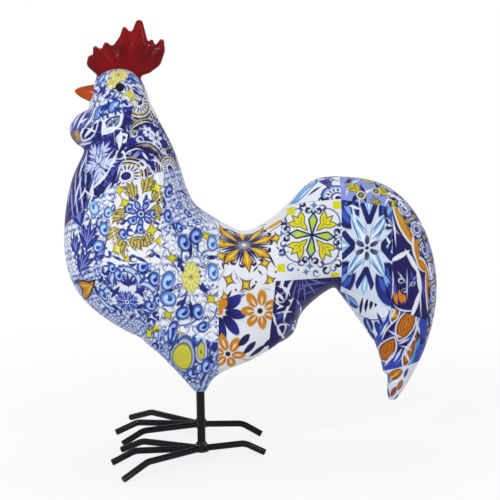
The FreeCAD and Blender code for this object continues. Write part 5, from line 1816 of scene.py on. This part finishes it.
# %% The nape print
def print_nape():
    """Dark blue with half rosettes rayed in white, scalloped yellow lines and white flowers."""
    p = Painter("nape", 150, 150, "25237a", 1.2)
    cell = p.tiles(150, 160, 26, 40)
    p.fill(p.leaf(2, 2, 12, 12, 3.4, cell), "151550")
    p.leaves("8f98cc", 0.9, (1, 12, 12, 12), (12, 2, 8, 8), (4, 5, 10, 10), place=cell)
    p.curls("c3cae8", 0.4, (7, 4, 4.4, 90, 1), place=cell)
    for x, y, reach, turn in ((139, 101, 20, 0), (126, 176, 19, 10), (170, 168, 15, 0)):
        p.stamp(p.disc(x, y), reach, (0.14, "2a2e7c"), (0.21, INK), (0.62, "dfe3f0"),
                (0.7, "b8a63c"), (0.76, INK), (0.83, "dfe3f0"), (0.9, "4a3f8c"), (0.95, "141440"),
                (1.0, "b8a63c"), soft=0.012)
        rays = p.fold(x, y, 18, turn)
        p.fill(p.leaf(reach * 0.3, 0, reach * 0.64, 0, reach * 0.042, rays), "1a1b60")
    for x, y, reach in ((156, 138, 9), (148, 132, 6)):
        flower = p.fold(x, y, 6, 0)
        p.fill(p.frond(1, 0, reach, 0, 2.3, 2.6, 0.8, flower), "dfe3f2")
        p.fill(p.disc(x, y), "3a46a8", 1.6)
    p.arcs("151548", (128, 131, 152, 121, 4, 5.4), (136, 148, 160, 158, 5, 5.4),
           (124, 152, 140, 146, 4, 4.6))
    p.arcs("a8983a", (128, 130, 152, 120, 5, 1.7), (137, 146, 160, 156, 6, 1.8),
           (130, 138, 140, 130, 3, 1.6), (150, 118, 160, 126, 3, 1.5), (160, 154, 174, 150, 4, 1.5))
    p.arcs("dfe3f2", (128, 133, 152, 123, 5, 1.3), (138, 143, 162, 154, 6, 1.2),
           (122, 124, 134, 118, 3, 1.3), (124, 156, 142, 150, 4, 1.3), (150, 160, 164, 172, 5, 2.2))
    p.leaves("dfe3f2", 1.1, (142, 152, 148, 160), (160, 150, 168, 156), (122, 150, 126, 160),
             (148, 128, 152, 132), (178, 172, 184, 184), (140, 176, 148, 182), (160, 116, 166, 120),
             (150, 168, 156, 178), (176, 158, 182, 168))
    p.curls("dfe3f2", 0.4, (142, 166, 6, 200, 1), (152, 112, 5, 300, 1), (176, 184, 5, 90, 1),
            (160, 178, 5, 140, -1))
    return p.finish()


# %% The head print
def print_head():
    """White with a pale yellow flower, blue leaves, scrolls and small stars."""
    p = Painter("head", 117, 92, "dfe4ee", 0.6)
    p.scrolls(117, 92, 25, 20, "5563a4", "8c98c8", 0.2)
    p.fill(p.oval(80, 122, 9, 15, -30), "4a4f9c", 1.0, 0.3)
    p.arcs("45407e", (98, 100, 88, 122, -2, -1.8), (94, 104, 82, 124, -2.4, -1.8),
           (101, 104, 94, 120, -2, -1.3), (89, 106, 76, 124, -2, -1.6),
           (84, 110, 72, 126, -2, -1.5), (92, 118, 80, 130, 3, 1.8))
    p.leaves("dfe3ee", 1.1, (88, 110, 77, 130), (82, 113, 73, 128), (94, 110, 84, 128),
             (78, 124, 88, 118))
    p.arcs("1f2a7c", (98, 108, 109, 100, -7, -4.0), (109, 112, 107, 98, -3, -2.6),
           (108, 108, 121, 92, -2, -1.6), (97, 96, 108, 84, -2, -2.8), (96, 98, 104, 88, 2, 1.2),
           (126, 92, 118, 82, -3, -1.6), (126, 84, 128, 94, 2, 1.4))
    for x1, y1, x2, y2, wide in ((94, 120, 105, 106, 3.9), (109, 112, 119, 101, 3.6),
                                 (97, 86, 106, 73, 3.8), (131, 74, 142, 85, 3.4)):
        p.edged(p.leaf(x1, y1, x2, y2, wide), "22308a", "5f8fd6", -0.4, 1.2)
        foot, tip = ((x1 + share * (x2 - x1), y1 + share * (y2 - y1)) for share in (0.3, 0.9))
        p.leaves("b9d2f2", wide * 0.34, (*foot, *tip))
    p.leaves("22308a", 1.7, (104, 99, 112, 94), (110, 98, 118, 100), (100, 112, 106, 104),
             (114, 110, 122, 108), (124, 100, 128, 106), (88, 84, 93, 78), (126, 112, 134, 106),
             (96, 78, 102, 70))
    for x, y, petals, turn, reach, long, wide in ((112, 83, 5, 20, 3.4, 3.0, 2.3),
                                                  (118, 75, 8, 10, 4.6, 4.2, 2.2)):
        petal = p.fold(x, y, petals, turn)
        p.edged(p.oval(reach, 0, long, wide, 0, petal), "9c9140", "e3de86", 0.84, 0.2, 0.14)
        p.fill(p.leaf(1, 0, reach + 1, 0, 0.5, petal), "a79b3c")
    p.fill(p.disc(118, 74.5), "8a93b0", 1.6)
    p.edged(p.star(130, 95, 8.5, 10), "a39a20", "d9cf22", 0.86, 0.08, 0.07)
    p.edged(p.star(135, 103, 8.5, 20), "6a5f90", "dfda9c", 0.82, 0.14, 0.1)
    p.curls("22308a", 0.4, (90, 78, 4, 60, 1), (106, 117, 5, 300, 1), (138, 92, 5, 150, 1),
            (103, 90, 4.4, 200, 1), (127, 110, 5, 40, 1), (112, 93, 4.4, 20, 1),
            (98, 78, 4, 150, 1), (130, 80, 4, 250, -1), (117, 113, 4, 90, 1))
    p.leaves("1f2a7c", 1.1, (113, 106, 122, 114), (98, 112, 104, 118), (104, 92, 98, 84),
             (120, 86, 112, 90), (133, 86, 140, 92), (128, 100, 120, 104), (92, 88, 98, 94),
             (142, 96, 146, 106), (100, 96, 106, 92))
    p.dots("2c3c90", 1.0, (94, 98), (110, 98), (101, 84), (124, 112), (90, 92), (132, 112),
           (120, 98), (106, 82))
    return p.finish()


# %% Laying the prints on the casting
PRINT_MAKERS = [
    print_kites, print_gold_cross, print_orange_flowers, print_night_ribbons, print_fan_leaf,
    print_star, print_big_petals, print_night_panel, print_paisley, print_tip, print_rim,
    print_crest_band, print_volutes, print_scroll_strip, print_belly_disc, print_hem,
    print_medallion, print_gold_leaves, print_sprays, print_ochre_bud, print_ribbons_blue,
    print_nape, print_head]
PRINTS = {maker.__name__.removeprefix("print_"): maker() for maker in PRINT_MAKERS}
PRINT_ROUGHNESS, PRINT_COAT, PRINT_COAT_ROUGHNESS = 0.5, 0.22, 0.07
RIPPLE_SCALE, RIPPLE_DETAIL, RIPPLE_STRENGTH, RIPPLE_DEPTH = 45, 2, 0.35, 0.5 * MM
FLATTEN = 1000  # the print's own depth counts for nothing

# the tile that a patch of the right side shows, where it isn't the left side's
RIGHT_SIDE = {"kites": "medallion", "medallion": "kites", "volutes": "star", "star": "volutes",
              "gold_leaves": "nape", "nape": "gold_leaves", "gold_cross": "orange_flowers",
              "orange_flowers": "gold_cross", "ribbons_blue": "sprays", "sprays": "ribbons_blue",
              "big_petals": "belly_disc"}


def printed(name, side):
    """A patch's finish: its print under a glossy clear coat that is slightly uneven."""
    paint, tree, surface = new_paint(f"{name}_{'left' if side < 0 else 'right'}",
                                     PRINT_ROUGHNESS, PRINT_COAT, PRINT_COAT_ROUGHNESS)
    art = PRINTS[name if side < 0 else RIGHT_SIDE.get(name, name)]
    laid = art.frame if side < 0 else level_frame(*averages[(name, side)], Vector((0, 0, 1)))
    place = add_node(tree, "TexCoord", out="Object")
    on_print = add_node(tree, "Mapping", place, laid.translation, laid.to_euler(),
                        (PRINT_UNIT, PRINT_UNIT, FLATTEN), vector_type="TEXTURE")
    colour = add_node(tree, "Group", on_print, node_tree=art.tree)
    tree.links.new(colour, surface.inputs["Base Color"])
    ripple_on(tree, place, surface.inputs["Coat Normal"],
              RIPPLE_SCALE, RIPPLE_DETAIL, RIPPLE_STRENGTH, RIPPLE_DEPTH)
    return paint


for name, side in patch_names:
    body_skin.data.materials.append(printed(name, side))
for name, art in PRINTS.items():
    print(f"{name}: {len(art.tree.nodes)} nodes")
